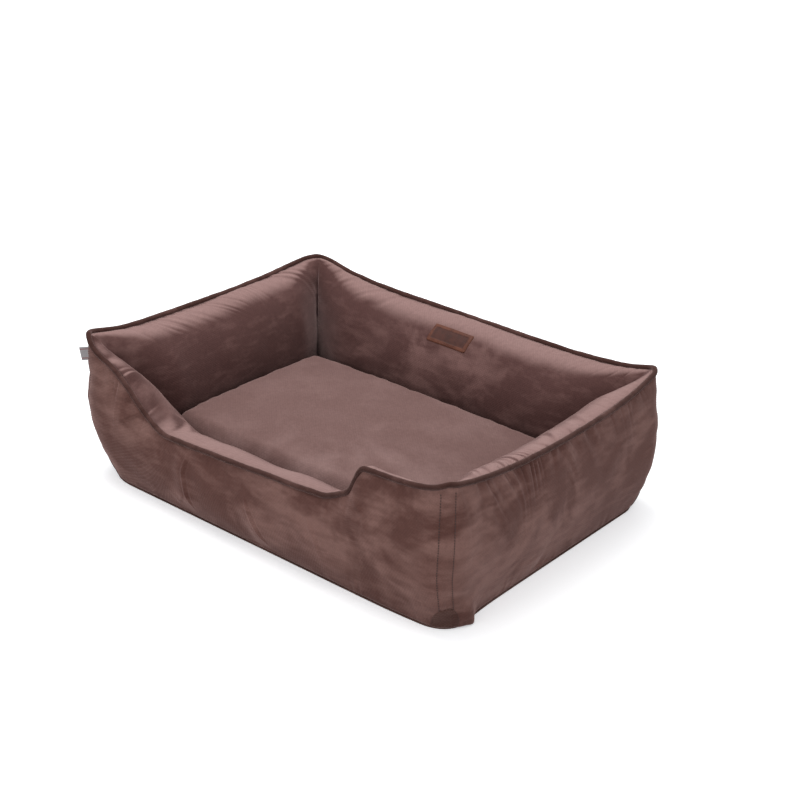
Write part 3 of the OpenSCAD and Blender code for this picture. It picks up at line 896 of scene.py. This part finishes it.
patch = {"from": 25, "to": 45, "across": 64, "down": 28, "tall": 0.040, "inset": 0.002, "thickness": 0.0018,
         "border": 0.0065, "corner": 0.004, "stitchInset": 0.0034, "stitchPitch": 0.0034, "stitch": 0.0026,
         "thread": 0.00038}
patchLow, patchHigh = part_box("leather_patch")
patchWidth = patchHigh[0] - patch["inset"] - (patchLow[0] + patch["inset"])


def patchSeat(x, f):
    # place on the back wall; f runs down the patch from 0 to 1
    t = -x / halfAlong(back)
    top, edge = float(rimHeight(back, np.array(t))), float(bowOut(np.array(t)))
    q = math.radians(mix(patch["from"], patch["to"], f))
    point = wallPoint(back, t, *rolledTop(back, t, edge, bed["thickness"][back], top, q))
    return laidOn(point, 0, (0, -1, 0.6))


def patchPiece():
    low, width, tall = patchLow[0] + patch["inset"], patchWidth, patch["tall"]
    across, down = patch["across"], patch["down"]
    outer, inner, uvs = [], [], []
    for i in range(across + 1):
        for j in range(down + 1):
            u, v = i / across * width, j / down * tall
            eu, ev = min(u, width - u), min(v, tall - v)
            c = patch["corner"]
            if eu < c and ev < c:               # rounded corners
                reach = math.hypot(c - eu, c - ev)
                square = max(c - eu, c - ev)
                pull = square / reach if reach > 0 else 1
                u += ((c - eu) * (1 - pull)) * (1 if u < width / 2 else -1)
                v += ((c - ev) * (1 - pull)) * (1 if v < tall / 2 else -1)
                eu, ev = min(u, width - u), min(v, tall - v)
            place, normal = patchSeat(low + u, v / tall)
            e = min(eu, ev)
            body = patch["thickness"] * math.sqrt(1 - max(0, 1 - e / 0.0014) ** 2)
            body -= 0.0007 * float(smooth(patch["border"], patch["border"] + 0.0012, e))
            body -= 0.0005 * math.exp(-((e - patch["stitchInset"]) / 0.0007) ** 2)
            body += 0.0002 * float(lumps(u, v, 91, 0.012))
            outer.append(place + normal * (0.0004 + max(body, 0.0002)))
            inner.append(place + normal * 0.0001)
            uvs.append((u, v))
    return meshObject("leather_patch_piece", outer + inner, doubledFaces(across + 1, down + 1), uvs + uvs)


def patchThread():
    low, width, tall = patchLow[0] + patch["inset"], patchWidth, patch["tall"]
    inset, seats = patch["stitchInset"], []
    corners = [(inset, inset), (width - inset, inset), (width - inset, tall - inset), (inset, tall - inset)]
    for (au, av), (bu, bv) in zip(corners, corners[1:] + corners[:1]):
        count = round(math.hypot(bu - au, bv - av) / patch["stitchPitch"])
        for k in range(count):
            start, middle, end = [patchSeat(low + mix(au, bu, f), mix(av, bv, f) / tall)
                                  for f in (k / count, (k + 0.5) / count, (k + 1) / count)]
            place, normal = middle
            ahead = (end[0] - start[0]).normalized()
            seats.append((place + normal * (patch["thickness"] - 0.0001), ahead, normal))
    return stitchMesh("patch_stitches", seats, patch["stitch"], patch["thread"])


patchBody, patchStitches = patchPiece(), patchThread()


def labelPiece():
    # a ribbon folded in two, its ends in the corner seam; it droops a little
    low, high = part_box("side_label")
    beside = Vector((high[0], low[1] - 0.008, 0.240))
    seat = laidOn(beside, -0.003, Vector((-1, 0, 0)))[0]
    corners = {"nearTop": (0, 0.0066), "nearFoot": (0, -0.0208), "farTop": (-0.036, -0.0066),
               "farFoot": (-0.0265, -0.0292)}
    along, up, half = 14, 12, 0.0005
    path = []
    for k in range(along + 1):
        path.append((k / along, half))
    for q in (60, 30, 0, -30, -60):
        path.append((1 + 0.02 * math.cos(math.radians(q)), half * math.sin(math.radians(q))))
    for k in reversed(range(along + 1)):
        path.append((k / along, -half))
    points, uvs = [], []
    for f, off in path:
        for j in range(up + 1):
            g = j / up
            top = [mix(a, b, f) for a, b in zip(corners["nearTop"], corners["farTop"])]
            foot = [mix(a, b, f) for a, b in zip(corners["nearFoot"], corners["farFoot"])]
            x, z = mix(top[0], foot[0], g), mix(top[1], foot[1], g)
            wave = 0.0018 * math.sin(2.6 * f + 1.2 * g) * f
            points.append(seat + Vector((x, off + wave, z)))
            uvs.append((f * 0.026 + (0.06 if off < 0 else 0), g * 0.025))
    faces = gridFaces(len(path), up + 1, False)
    obj = meshObject("woven_label", points, faces, uvs)
    solid = obj.modifiers.new("thickness", "SOLIDIFY")
    solid.thickness = 0.0004
    solid.offset = 0
    return obj


label = labelPiece()


zipParts = {"toothPitch": 0.0021, "toothLength": 0.0014, "gap": 0.0015, "row": 0.0033, "toothHigh": 0.0021,
            "sliderLength": 0.009, "sliderHalf": 0.004, "plate": 0.0008, "plateFace": 0.00225,
            "pinRadius": 0.0006, "pinHeight": 0.00385, "pullLength": 0.012, "pullWidth": 0.0032,
            "pullThickness": 0.001, "lug": 0.0008, "eye": 0.0013}


def jointNamed(name):
    return next(j for j in frame["record"]["behaviour"]["joints"] if j["name"] == name)


def zipPlace(tape, pullJoint):
    # the middle of the two tapes, leaning as they do, half their length, and the closed slider's x
    low, high = np.stack([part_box(tape + "_upper"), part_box(tape + "_lower")], axis=1)
    middle = (low.min(axis=0) + high.max(axis=0)) / 2
    joint = jointNamed(pullJoint)
    lean = math.atan2(-joint["axis"][1], -joint["axis"][2])
    return Matrix.Translation(middle) @ Matrix.Rotation(-lean, 4, "X"), float(high[0][0]), joint["pos_m"][0]


def outlineSolid(outline, thickness, bevel, place):
    # flat piece in x and z, thick along y, with rounded edges
    count = len(outline)
    points, faces = [], []
    levels = [(-0.5, bevel), (-0.5 + bevel / thickness, 0), (0.5 - bevel / thickness, 0), (0.5, bevel)]
    middle = np.mean(outline, axis=0)
    for y, inset in levels:
        for x, z in outline:
            away = np.array([x, z]) - middle
            away = away * (1 - inset / max(np.linalg.norm(away), 1e-6))
            points.append((middle[0] + away[0], y * thickness, middle[1] + away[1]))
    for level in range(3):
        for k in range(count):
            a, b = level * count + k, level * count + (k + 1) % count
            faces.append((a, b, b + count, a + count))
    faces += [tuple(reversed(range(count))), tuple(3 * count + k for k in range(count))]
    return [place @ Vector(p) for p in points], faces


def joined(name, solids):
    points, faces = [], []
    for somePoints, someFaces in solids:
        start = len(points)
        points += somePoints
        faces += [tuple(start + k for k in f) for f in someFaces]
    obj = meshObject(name, points, faces)
    for p in obj.data.polygons:
        p.use_smooth = False
    return obj


def roundedBar(halfX, halfZ, radius, count=3):
    return roundedCorners(halfX, halfZ, [radius] * 4, count)


def hollowSolid(rings):
    # a closed wall through four rings of points, the last joined to the first
    count = len(rings[0])
    faces = []
    for level in range(4):
        start, after = level * count, (level + 1) % 4 * count
        for k in range(count):
            n = (k + 1) % count
            faces.append((start + k, start + n, after + n, after + k))
    return [p for ring in rings for p in ring], faces


def zipTeeth(name, place, halfRun, way):
    solids = []
    pitch = zipParts["toothPitch"]
    length = zipParts["row"] - zipParts["gap"] / 2
    count = int(2 * halfRun / pitch)
    for k in range(count):
        x = -halfRun + (k + 0.5 + (0.25 if way > 0 else -0.25)) * pitch
        middle = way * (zipParts["gap"] / 2 + length / 2)
        outline = roundedBar(zipParts["toothLength"] / 2, length / 2, 0.0005)
        seat = place @ Matrix.Translation((x, 0, middle))
        solids.append(outlineSolid(outline, zipParts["toothHigh"], 0.0004, seat))
    return joined(name, solids)


def zipSlider(name, place, closed):
    here = place @ Matrix.Translation((closed, 0, 0))
    half, width = zipParts["sliderLength"] / 2, zipParts["sliderHalf"]
    shield = [(half * x, width * z) for x, z in
              [(1, -0.62), (1, 0.62), (0.8, 0.85), (0.35, 1), (-0.5, 1), (-0.85, 0.9), (-1, 0.7), (-1, 0.25),
               (-0.8, 0), (-1, -0.25), (-1, -0.7), (-0.85, -0.9), (-0.5, -1), (0.35, -1), (0.8, -0.85)]]
    face = zipParts["plateFace"] - zipParts["plate"] / 2
    solids = [outlineSolid(shield, zipParts["plate"], 0.00025, here @ Matrix.Translation((0, y, 0)))
              for y in (-face, face)]
    post = roundedBar(0.0015, 0.0005, 0.0004)
    solids.append(outlineSolid(post, 2 * face, 0.0001, here))
    lugMiddle = zipParts["pullWidth"] / 2 + 0.0003 + zipParts["lug"] / 2
    for way in (-1, 1):
        seat = here @ Matrix.Translation((0, zipParts["plateFace"] + 0.00105, way * lugMiddle)) \
            @ Matrix.Rotation(math.pi / 2, 4, "X")
        lugOutline = roundedBar(0.0011, 0.0011, 0.0008, 4)
        solids.append(outlineSolid(lugOutline, zipParts["lug"], 0.0002, seat))
    pinSeat = here @ Matrix.Translation((0, zipParts["pinHeight"], 0)) @ Matrix.Rotation(math.pi / 2, 4, "X")
    pinOutline = [(zipParts["pinRadius"] * math.cos(q), zipParts["pinRadius"] * math.sin(q))
                  for q in np.linspace(0, 2 * math.pi, 12, endpoint=False)]
    solids.append(outlineSolid(pinOutline, 2 * lugMiddle, 0.0001, pinSeat))
    return joined(name, solids)


def zipPull(name, place, closed):
    # a tab with a slot near its end, closed round the pin by an eye
    here = place @ Matrix.Translation((closed, zipParts["pinHeight"], 0))
    halfPull = zipParts["pullWidth"] / 2
    outer, hole = [], []
    length = zipParts["pullLength"]
    start, end = 0.0011, length - halfPull
    for q in np.radians(np.linspace(-90, 90, 9)):
        outer.append((-end - halfPull * math.cos(q), halfPull * math.sin(q)))
    outer += [(-start - 0.001, halfPull), (-start, halfPull * 0.8)]
    outer += [(-start, -halfPull * 0.8), (-start - 0.001, -halfPull)]
    slot = halfPull * 0.45
    for x, z in outer:
        hole.append((float(np.clip(x, -end, -end * 0.55)), float(np.clip(z, -slot, slot))))
    y = zipParts["pullThickness"] / 2
    tab = [[here @ Vector((x, height, z)) for x, z in ring]
           for ring, height in ((outer, -y), (outer, y), (hole, y), (hole, -y))]
    outR, inR = zipParts["eye"], zipParts["pinRadius"] + 0.0001
    turn = [2 * math.pi * k / 16 for k in range(16)]
    eye = [[here @ Vector((r * math.cos(q), r * math.sin(q), z)) for q in turn]
           for r, z in ((outR, -halfPull), (outR, halfPull), (inR, halfPull), (inR, -halfPull))]
    return joined(name, [hollowSolid(tab), hollowSolid(eye)])


zipRows = []
for owner in ("wall", "cushion"):
    seat, halfTape, closed = zipPlace(owner + "_zip_tape", owner + "_zip_pull_turn")
    halfRun = halfTape - 0.005
    zipRows.append({
        "name": owner,
        "upper": zipTeeth(owner + "_zip_coil_upper", seat, halfRun, 1),
        "lower": zipTeeth(owner + "_zip_coil_lower", seat, halfRun, -1),
        "slider": zipSlider(owner + "_zip_slider_piece", seat, closed),
        "pull": zipPull(owner + "_zip_pull_piece", seat, closed),
    })
print("patch, label and zips made")


def feed(tree, socket, value):
    # a link from another node, or a plain value
    if isinstance(value, bpy.types.NodeSocket):
        tree.links.new(value, socket)
    elif value is not None:
        socket.default_value = value


def add(tree, kind, sockets=None, **settings):
    made = tree.nodes.new(kind)
    for key, value in settings.items():
        setattr(made, key, value)
    for key, value in (sockets or {}).items():
        feed(tree, made.inputs[key], value)
    return made


def newGroup(name, inputs, outputs):
    tree = bpy.data.node_groups.new(name, "ShaderNodeTree")
    for title, kind, value in inputs:
        socket = tree.interface.new_socket(name=title, in_out="INPUT", socket_type="NodeSocket" + kind)
        if value is not None:
            socket.default_value = value
    for title in outputs:
        tree.interface.new_socket(name=title, in_out="OUTPUT", socket_type="NodeSocketFloat")
    return tree, tree.nodes.new("NodeGroupInput").outputs, tree.nodes.new("NodeGroupOutput").inputs


def grouped(tree, group, sockets):
    return add(tree, "ShaderNodeGroup", sockets, node_tree=group).outputs


def sums(tree, operation, a, b=None):
    made = add(tree, "ShaderNodeMath", operation=operation)
    feed(tree, made.inputs[0], a)
    feed(tree, made.inputs[1], b)
    return made.outputs[0]


def times(tree, a, b):
    return sums(tree, "MULTIPLY", a, b)


def plus(tree, a, b):
    return sums(tree, "ADD", a, b)


def ranged(tree, value, low, high, toLow=0.0, toHigh=1.0):
    sockets = {"Value": value, "From Min": low, "From Max": high, "To Min": toLow, "To Max": toHigh}
    return add(tree, "ShaderNodeMapRange", sockets, interpolation_type="SMOOTHSTEP").outputs["Result"]


def noise(tree, place, scale, **more):
    return add(tree, "ShaderNodeTexNoise", dict(more, Vector=place, Scale=scale)).outputs[0]


def blended(tree, factor, a, b, kind="MIX"):
    made = add(tree, "ShaderNodeMix", data_type="RGBA", blend_type=kind)
    for socket, value in zip([s for s in made.inputs if s.enabled], (factor, a, b)):
        feed(tree, socket, value + (1,) if isinstance(value, tuple) else value)
    return next(s for s in made.outputs if s.enabled)


def objectPlace(tree):
    return add(tree, "ShaderNodeTexCoord").outputs["Object"]


def clothPlace(tree):
    return add(tree, "ShaderNodeUVMap", uv_map="cloth").outputs[0]


def newMaterial(name):
    material = bpy.data.materials.new(name)
    material.use_nodes = True
    tree = material.node_tree
    tree.nodes.clear()
    shader = tree.nodes.new("ShaderNodeBsdfPrincipled")
    out = tree.nodes.new("ShaderNodeOutputMaterial")
    tree.links.new(shader.outputs[0], out.inputs[0])
    return material, tree, shader


def surfaced(tree, shader, colour, rough, constants=()):
    feed(tree, shader.inputs["Base Color"], colour)
    feed(tree, shader.inputs["Roughness"], rough)
    for key, value in dict(constants).items():
        shader.inputs[key].default_value = value


def bumped(tree, shader, height, strength, distance):
    bump = add(tree, "ShaderNodeBump", {"Height": height, "Strength": strength, "Distance": distance})
    tree.links.new(bump.outputs[0], shader.inputs["Normal"])


def makeNapPatches():
    # where the pile lies one way or the other: hand marks, strokes and creases
    inputs = [("Vector", "Vector", None), ("Scale", "Float", 9.0), ("Stroke", "Float", 0.35)]
    tree, start, end = newGroup("nap patches", inputs, ["Mask"])
    place, scale = start["Vector"], start["Scale"]
    stretched = add(tree, "ShaderNodeMapping", {"Vector": place, "Rotation": (0.3, 0.5, 0.6),
                                                "Scale": (1.0, 1.0, 3.6)}).outputs[0]
    big = noise(tree, place, scale, Detail=3.0, Roughness=0.55, Distortion=0.9)
    wide = noise(tree, place, times(tree, scale, 0.35), Detail=1.0)
    stroke = noise(tree, stretched, times(tree, scale, 2.2), Detail=4.0, Roughness=0.6)
    broad = plus(tree, times(tree, ranged(tree, wide, 0.38, 0.62), 0.7), 0.3)
    mask = times(tree, ranged(tree, big, 0.36, 0.68), broad)
    strokes = sums(tree, "SUBTRACT", ranged(tree, stroke, 0.35, 0.7), 0.5)
    feed(tree, end["Mask"], plus(tree, mask, times(tree, strokes, start["Stroke"])))
    return tree


def makeClothWeave():
    # crossing threads on the diagonal; the vector is in metres of cloth
    inputs = [("Vector", "Vector", None), ("Pitch", "Float", 0.003), ("Unevenness", "Float", 0.3)]
    tree, start, end = newGroup("cloth weave", inputs, ["Height"])
    scale = sums(tree, "DIVIDE", 0.314, start["Pitch"])
    threads = []
    for angle in (math.radians(45), math.radians(-45)):
        turned = add(tree, "ShaderNodeMapping", {"Vector": start["Vector"], "Rotation": (0, 0, angle)})
        sockets = {"Vector": turned.outputs[0], "Scale": scale, "Distortion": 0.6, "Detail": 1.0,
                   "Detail Scale": 0.5}
        threads.append(add(tree, "ShaderNodeTexWave", sockets, wave_profile="SIN").outputs["Fac"])
    worn = times(tree, noise(tree, start["Vector"], 60.0, Detail=2.0), start["Unevenness"])
    feed(tree, end["Height"], plus(tree, times(tree, *threads), worn))
    return tree


def makePileFuzz():
    # fine fibre speckle, as a shade and as a height
    inputs = [("Vector", "Vector", None), ("Fibre", "Float", 0.0012)]
    tree, start, end = newGroup("pile fuzz", inputs, ["Shade", "Height"])
    scale = sums(tree, "DIVIDE", 1.0, start["Fibre"])
    fine = noise(tree, start["Vector"], scale, Detail=2.0, Roughness=0.7)
    coarse = noise(tree, start["Vector"], times(tree, scale, 0.22), Detail=3.0)
    both = plus(tree, times(tree, fine, 0.6), times(tree, coarse, 0.4))
    feed(tree, end["Shade"], ranged(tree, both, 0.3, 0.7))
    feed(tree, end["Height"], both)
    return tree


napPatches, clothWeave, pileFuzz = makeNapPatches(), makeClothWeave(), makePileFuzz()


def velour(name, look):
    material, tree, shader = newMaterial(name)
    place = objectPlace(tree)
    sockets = {"Vector": place, "Scale": look["patchScale"], "Stroke": look["stroke"]}
    nap = grouped(tree, napPatches, sockets)[0]
    fuzz = grouped(tree, pileFuzz, {"Vector": place, "Fibre": look["fibre"]})
    weave = grouped(tree, clothWeave, {"Vector": clothPlace(tree), "Pitch": look["pitch"]})[0]
    pile = blended(tree, nap, look["dark"], look["light"])
    if look["wearAndPaintedUpLight"]:           # painted light: the pile colour is made paler where the cloth faces up, standing in for the sheen and overhead light on upward faces
        normal = add(tree, "ShaderNodeNewGeometry").outputs["Normal"]
        upward = add(tree, "ShaderNodeSeparateXYZ", {"Vector": normal}).outputs["Z"]
        pile = blended(tree, ranged(tree, upward, 0.8, 0.97), pile, look["wearAndPaintedUpLight"])
    shade = plus(tree, times(tree, fuzz["Shade"], look["speckle"]), 1 - look["speckle"] / 2)
    threads = plus(tree, times(tree, weave, look["threads"]), 1 - look["threads"] / 2)
    both = times(tree, shade, threads)
    grey = add(tree, "ShaderNodeCombineColor", {"Red": both, "Green": both, "Blue": both}).outputs[0]
    surfaced(tree, shader, blended(tree, 1.0, pile, grey, "MULTIPLY"), ranged(tree, nap, 0.0, 1.0, 0.92, 0.8),
             {"Sheen Weight": look["sheen"], "Sheen Roughness": 0.4, "Sheen Tint": (1.0, 0.7, 0.67, 1),
              "Specular IOR Level": 0.12})
    height = plus(tree, times(tree, fuzz["Height"], 0.5), times(tree, weave, 0.35))
    bumped(tree, shader, height, look["bump"], 0.0012)
    return material


velourLook = {"dark": (0.108, 0.048, 0.040), "light": (0.215, 0.115, 0.099), "patchScale": 7.0, "stroke": 0.5,
              "fibre": 0.0016, "speckle": 0.24, "pitch": 0.0038, "threads": 0.1, "bump": 0.5, "sheen": 0.42,
              "wearAndPaintedUpLight": None}
# painted shade: the inner walls are the same velour as the outside, given darker colours to stand in for the
# shade and weaker sheen they show
shadedInnerLook = dict(velourLook, dark=(0.074, 0.034, 0.031), light=(0.145, 0.077, 0.070), patchScale=9.0,
                 # the colour for upward faces is painted light: a paler pile standing in for the sheen and
                 # overhead light on them
                 wearAndPaintedUpLight=(0.235, 0.142, 0.132))
cushionLook = dict(velourLook, dark=(0.138, 0.077, 0.070), light=(0.195, 0.118, 0.109), patchScale=5.0,
                   threads=0.07, pitch=0.0044)
pipingLook = dict(velourLook, dark=(0.050, 0.021, 0.017), light=(0.085, 0.040, 0.034), patchScale=14.0,
                  pitch=0.0028, threads=0.3, bump=0.7, sheen=0.3)
baseLook = dict(velourLook, dark=(0.075, 0.034, 0.028), light=(0.125, 0.066, 0.056), pitch=0.0036,
                threads=0.4, bump=0.8, sheen=0.35)
shadedInnerVelour = velour("inner velour painted shade", shadedInnerLook)
bedVelour = velour("bed velour", velourLook)
cushionVelour = velour("cushion velour", cushionLook)
pipingVelour = velour("piping velour", pipingLook)
baseCloth = velour("base cloth", baseLook)


def wovenCloth(name, look):
    # plain ribbon or lining with straight threads
    material, tree, shader = newMaterial(name)
    place = objectPlace(tree)
    weave = grouped(tree, clothWeave, {"Vector": place, "Pitch": look["pitch"], "Unevenness": 0.4})[0]
    fuzz = grouped(tree, pileFuzz, {"Vector": place, "Fibre": look["pitch"] * 0.7})["Shade"]
    factor = ranged(tree, plus(tree, weave, times(tree, fuzz, 0.4)), 0.1, 1.1)
    surfaced(tree, shader, blended(tree, factor, look["dark"], look["light"]),
             ranged(tree, fuzz, 0.0, 1.0, 0.75, 0.95), {"Sheen Weight": 0.15, "Specular IOR Level": 0.25})
    bumped(tree, shader, weave, 0.6, 0.0005)
    return material


liningLook = {"dark": (0.07, 0.038, 0.034), "light": (0.13, 0.078, 0.07), "pitch": 0.0016}
tapeLook = {"dark": (0.035, 0.018, 0.016), "light": (0.07, 0.04, 0.036), "pitch": 0.0014}
liningCloth = wovenCloth("floor lining", liningLook)
tapeCloth = wovenCloth("zip tape", tapeLook)


def threadMaterial(name, dark, light):
    material, tree, shader = newMaterial(name)
    twist = noise(tree, objectPlace(tree), 1400.0, Detail=2.0)
    surfaced(tree, shader, blended(tree, ranged(tree, twist, 0.3, 0.7), dark, light),
             ranged(tree, twist, 0.3, 0.7, 0.5, 0.75))
    bumped(tree, shader, twist, 0.4, 0.0002)
    return material


darkThread = threadMaterial("topstitch thread", (0.03, 0.014, 0.013), (0.06, 0.03, 0.027))
redThread = threadMaterial("patch thread", (0.13, 0.05, 0.035), (0.22, 0.09, 0.06))


def fromBorder(tree, along, size):
    # distance from the nearer end of a strip
    off = sums(tree, "ABSOLUTE", sums(tree, "SUBTRACT", along, size / 2))
    return sums(tree, "SUBTRACT", size / 2, off)


def leatherMaterial():
    material, tree, shader = newMaterial("patch leather")
    place = objectPlace(tree)
    grain = add(tree, "ShaderNodeTexVoronoi", {"Vector": place, "Scale": 900.0, "Smoothness": 0.6},
                feature="SMOOTH_F1").outputs[0]
    tone = noise(tree, place, 55.0, Detail=4.0, Roughness=0.6)
    mottle = ranged(tree, tone, 0.35, 0.65)
    u, v = add(tree, "ShaderNodeSeparateXYZ", {"Vector": clothPlace(tree)}).outputs[:2]
    fromEdge = sums(tree, "MINIMUM", fromBorder(tree, u, patchWidth), fromBorder(tree, v, patch["tall"]))
    border = blended(tree, mottle, (0.075, 0.024, 0.015), (0.125, 0.045, 0.028))
    centre = blended(tree, mottle, (0.045, 0.016, 0.012), (0.07, 0.027, 0.021))
    field = ranged(tree, fromEdge, patch["border"] - 0.0004, patch["border"] + 0.0012)
    wearAndPaintedUpLight = times(tree, ranged(tree, fromEdge, 0.0, 0.0016, 1.0, 0.0), 0.55)
    worn = blended(tree, wearAndPaintedUpLight, blended(tree, field, border, centre), (0.2, 0.085, 0.055))
    surfaced(tree, shader, worn, ranged(tree, tone, 0.3, 0.7, 0.42, 0.62), {"Specular IOR Level": 0.12})
    bumped(tree, shader, plus(tree, times(tree, grain, 0.6), times(tree, tone, 0.5)), 0.45, 0.0006)
    return material


def labelMaterial():
    # grey woven ribbon with plain lines along its edges
    material, tree, shader = newMaterial("label ribbon")
    cloth = clothPlace(tree)
    weave = grouped(tree, clothWeave, {"Vector": cloth, "Pitch": 0.0011, "Unevenness": 0.2})[0]
    down = add(tree, "ShaderNodeSeparateXYZ", {"Vector": cloth}).outputs[1]
    fromMiddle = sums(tree, "ABSOLUTE", sums(tree, "SUBTRACT", down, 0.0125))
    line = times(tree, ranged(tree, fromMiddle, 0.0075, 0.0079), ranged(tree, fromMiddle, 0.0094, 0.009))
    ground = blended(tree, ranged(tree, weave, 0.0, 1.0), (0.26, 0.24, 0.25), (0.42, 0.4, 0.41))
    surfaced(tree, shader, blended(tree, line, ground, (0.22, 0.06, 0.06)),
             ranged(tree, weave, 0.0, 1.0, 0.65, 0.8))
    bumped(tree, shader, weave, 0.5, 0.0003)
    return material


def coilMaterial():
    material, tree, shader = newMaterial("zip coil")
    tone = noise(tree, objectPlace(tree), 300.0, Detail=2.0)
    shade = blended(tree, ranged(tree, tone, 0.3, 0.7), (0.035, 0.018, 0.016), (0.06, 0.034, 0.03))
    surfaced(tree, shader, shade, ranged(tree, tone, 0.3, 0.7, 0.35, 0.5))
    return material


def metalMaterial():
    # dull antique plating, brighter where it is rubbed
    material, tree, shader = newMaterial("zip plating")
    rub = noise(tree, objectPlace(tree), 220.0, Detail=4.0, Roughness=0.65)
    shade = blended(tree, ranged(tree, rub, 0.45, 0.65), (0.2, 0.165, 0.13), (0.5, 0.44, 0.37))
    surfaced(tree, shader, shade, ranged(tree, rub, 0.3, 0.7, 0.45, 0.28), {"Metallic": 1})
    bumped(tree, shader, rub, 0.15, 0.0002)
    return material


leather, labelCloth, coil, plating = leatherMaterial(), labelMaterial(), coilMaterial(), metalMaterial()


def dress(obj, material):
    obj.data.materials.append(material)


def redress(node, material):
    # a CAD node that stays gets a better material
    for holder in frame["nodes"][node].material_slots:
        holder.material = material


def attach(obj, body, slotName, material, *nodes):
    dress(obj, material)
    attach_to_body(obj, body)
    if nodes:
        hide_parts(*nodes)
    return obj


for side, obj in enumerate(wallPieces):
    name = sideNames[side]
    nodes = ["outer_panel_" + name, "inner_panel_" + name, "bolster_fill_" + name]
    if side == back:
        nodes.append("back_zip_facing")
    attach(obj, "bed", "outer_velour", bedVelour, *nodes)
    obj.data.materials.append(shadedInnerVelour)
attach(rimPiping, "bed", "piping", pipingVelour, "rim_piping")
attach(rimStitches, "bed", "outer_velour", darkThread)
attach(cornerStitches, "bed", "outer_velour", darkThread)
attach(basePanel, "bed", "base_velour", baseCloth, "base_panel")
attach(floorCloth, "bed", "floor_cloth", liningCloth, "floor_panel")
attach(cornerTabs[0], "bed", "base_velour", baseCloth, "base_corner_tabs")
for obj in cornerTabs[1:]:
    attach(obj, "bed", "base_velour", baseCloth)
attach(patchBody, "bed", "patch_leather", leather, "leather_patch")
attach(patchStitches, "bed", "patch_leather", redThread)
attach(label, "bed", "label_weave", labelCloth, "side_label")
attach(cushionBody, "cushion", "cushion_velour", cushionVelour,
      "cushion_cover_top", "cushion_cover_bottom", "cushion_fill")
attach(seamCord, "cushion", "cushion_velour", pipingVelour)
for row in zipRows:
    body = "bed" if row["name"] == "wall" else "cushion"
    stem = row["name"] + "_zip"
    attach(row["upper"], body, "zip_teeth", coil, stem + "_teeth_upper")
    attach(row["lower"], body, "zip_teeth", coil, stem + "_teeth_lower")
    attach(row["slider"], stem + "_slider", "zip_metal", plating, stem + "_slider")
    attach(row["pull"], stem + "_pull", "zip_metal", plating, stem + "_pull")
    redress(stem + "_tape_upper", tapeCloth)
    redress(stem + "_tape_lower", tapeCloth)
    redress(stem + "_stops", plating)
print("pieces placed on their bodies")


studio = {"floorHalf": 12.0, "keyPower": 36, "fillPower": 8, "sky": 0.8, "floorGlow": 0.4}


def paleFloor():
    # white to look at, but it throws only a little light back up
    half = studio["floorHalf"]
    corners = [(-half, -half, 0), (half, -half, 0), (half, half, 0), (-half, half, 0)]
    floor = meshObject("studio_floor", corners, [(0, 1, 2, 3)])
    material, tree, seen = newMaterial("pale floor")
    seen.inputs["Base Color"].default_value = (0.92, 0.93, 0.94, 1)
    seen.inputs["Roughness"].default_value = 0.9
    seen.inputs["Emission Color"].default_value = (0.97, 0.98, 1, 1)
    seen.inputs["Emission Strength"].default_value = studio["floorGlow"]
    dim = add(tree, "ShaderNodeBsdfPrincipled", {"Base Color": (0.55, 0.55, 0.55, 1), "Roughness": 0.9})
    both = tree.nodes.new("ShaderNodeMixShader")
    rays = tree.nodes.new("ShaderNodeLightPath")
    out = next(n for n in tree.nodes if n.type == "OUTPUT_MATERIAL")
    tree.links.new(rays.outputs["Is Camera Ray"], both.inputs[0])
    tree.links.new(dim.outputs[0], both.inputs[1])
    tree.links.new(seen.outputs[0], both.inputs[2])
    tree.links.new(both.outputs[0], out.inputs[0])
    dress(floor, material)


def softLight(name, position, target, size, power):
    lamp = bpy.data.lights.new(name, "AREA")
    lamp.shape = "DISK"
    lamp.size = size
    lamp.energy = power
    obj = link(bpy.data.objects.new(name, lamp))
    obj.location = position
    obj.rotation_euler = (Vector(target) - Vector(position)).to_track_quat("-Z", "Y").to_euler()


def whiteSky():
    world = bpy.data.worlds.new("studio sky")
    scene.world = world
    world.use_nodes = True
    shade = world.node_tree.nodes["Background"]
    shade.inputs["Color"].default_value = (1, 1, 1, 1)
    shade.inputs["Strength"].default_value = studio["sky"]


paleFloor()
softLight("key softbox", (-0.5, 0.1, 2.3), (0, 0, 0.1), 1.8, studio["keyPower"])
softLight("fill softbox", (0.5, -2.6, 1.2), (0, 0, 0.1), 1.8, studio["fillPower"])
whiteSky()
scene.view_settings.view_transform = "Standard"

view = {"azimuth": 38.35, "elevation": 25.5, "distance": 3.191, "target": (-0.0676, 0.1683, 0.0978),
        "lens": 74.0, "roll": 2.5}


def photographer():
    a, e, roll = (math.radians(view[k]) for k in ("azimuth", "elevation", "roll"))
    away = Vector((math.sin(a) * math.cos(e), -math.cos(a) * math.cos(e), math.sin(e)))
    side = (-away).cross(Vector((0, 0, 1))).normalized()
    up = side.cross(-away)
    side, up = side * math.cos(roll) + up * math.sin(roll), up * math.cos(roll) - side * math.sin(roll)
    lens = bpy.data.cameras.new("camera")
    lens.lens = view["lens"]
    lens.sensor_width = 36
    lens.clip_end = 60
    camera = link(bpy.data.objects.new("camera", lens))
    turn = Matrix((side, up, away)).transposed().to_4x4()
    camera.matrix_world = Matrix.Translation(Vector(view["target"]) + away * view["distance"]) @ turn
    scene.camera = camera


photographer()
print("studio set")
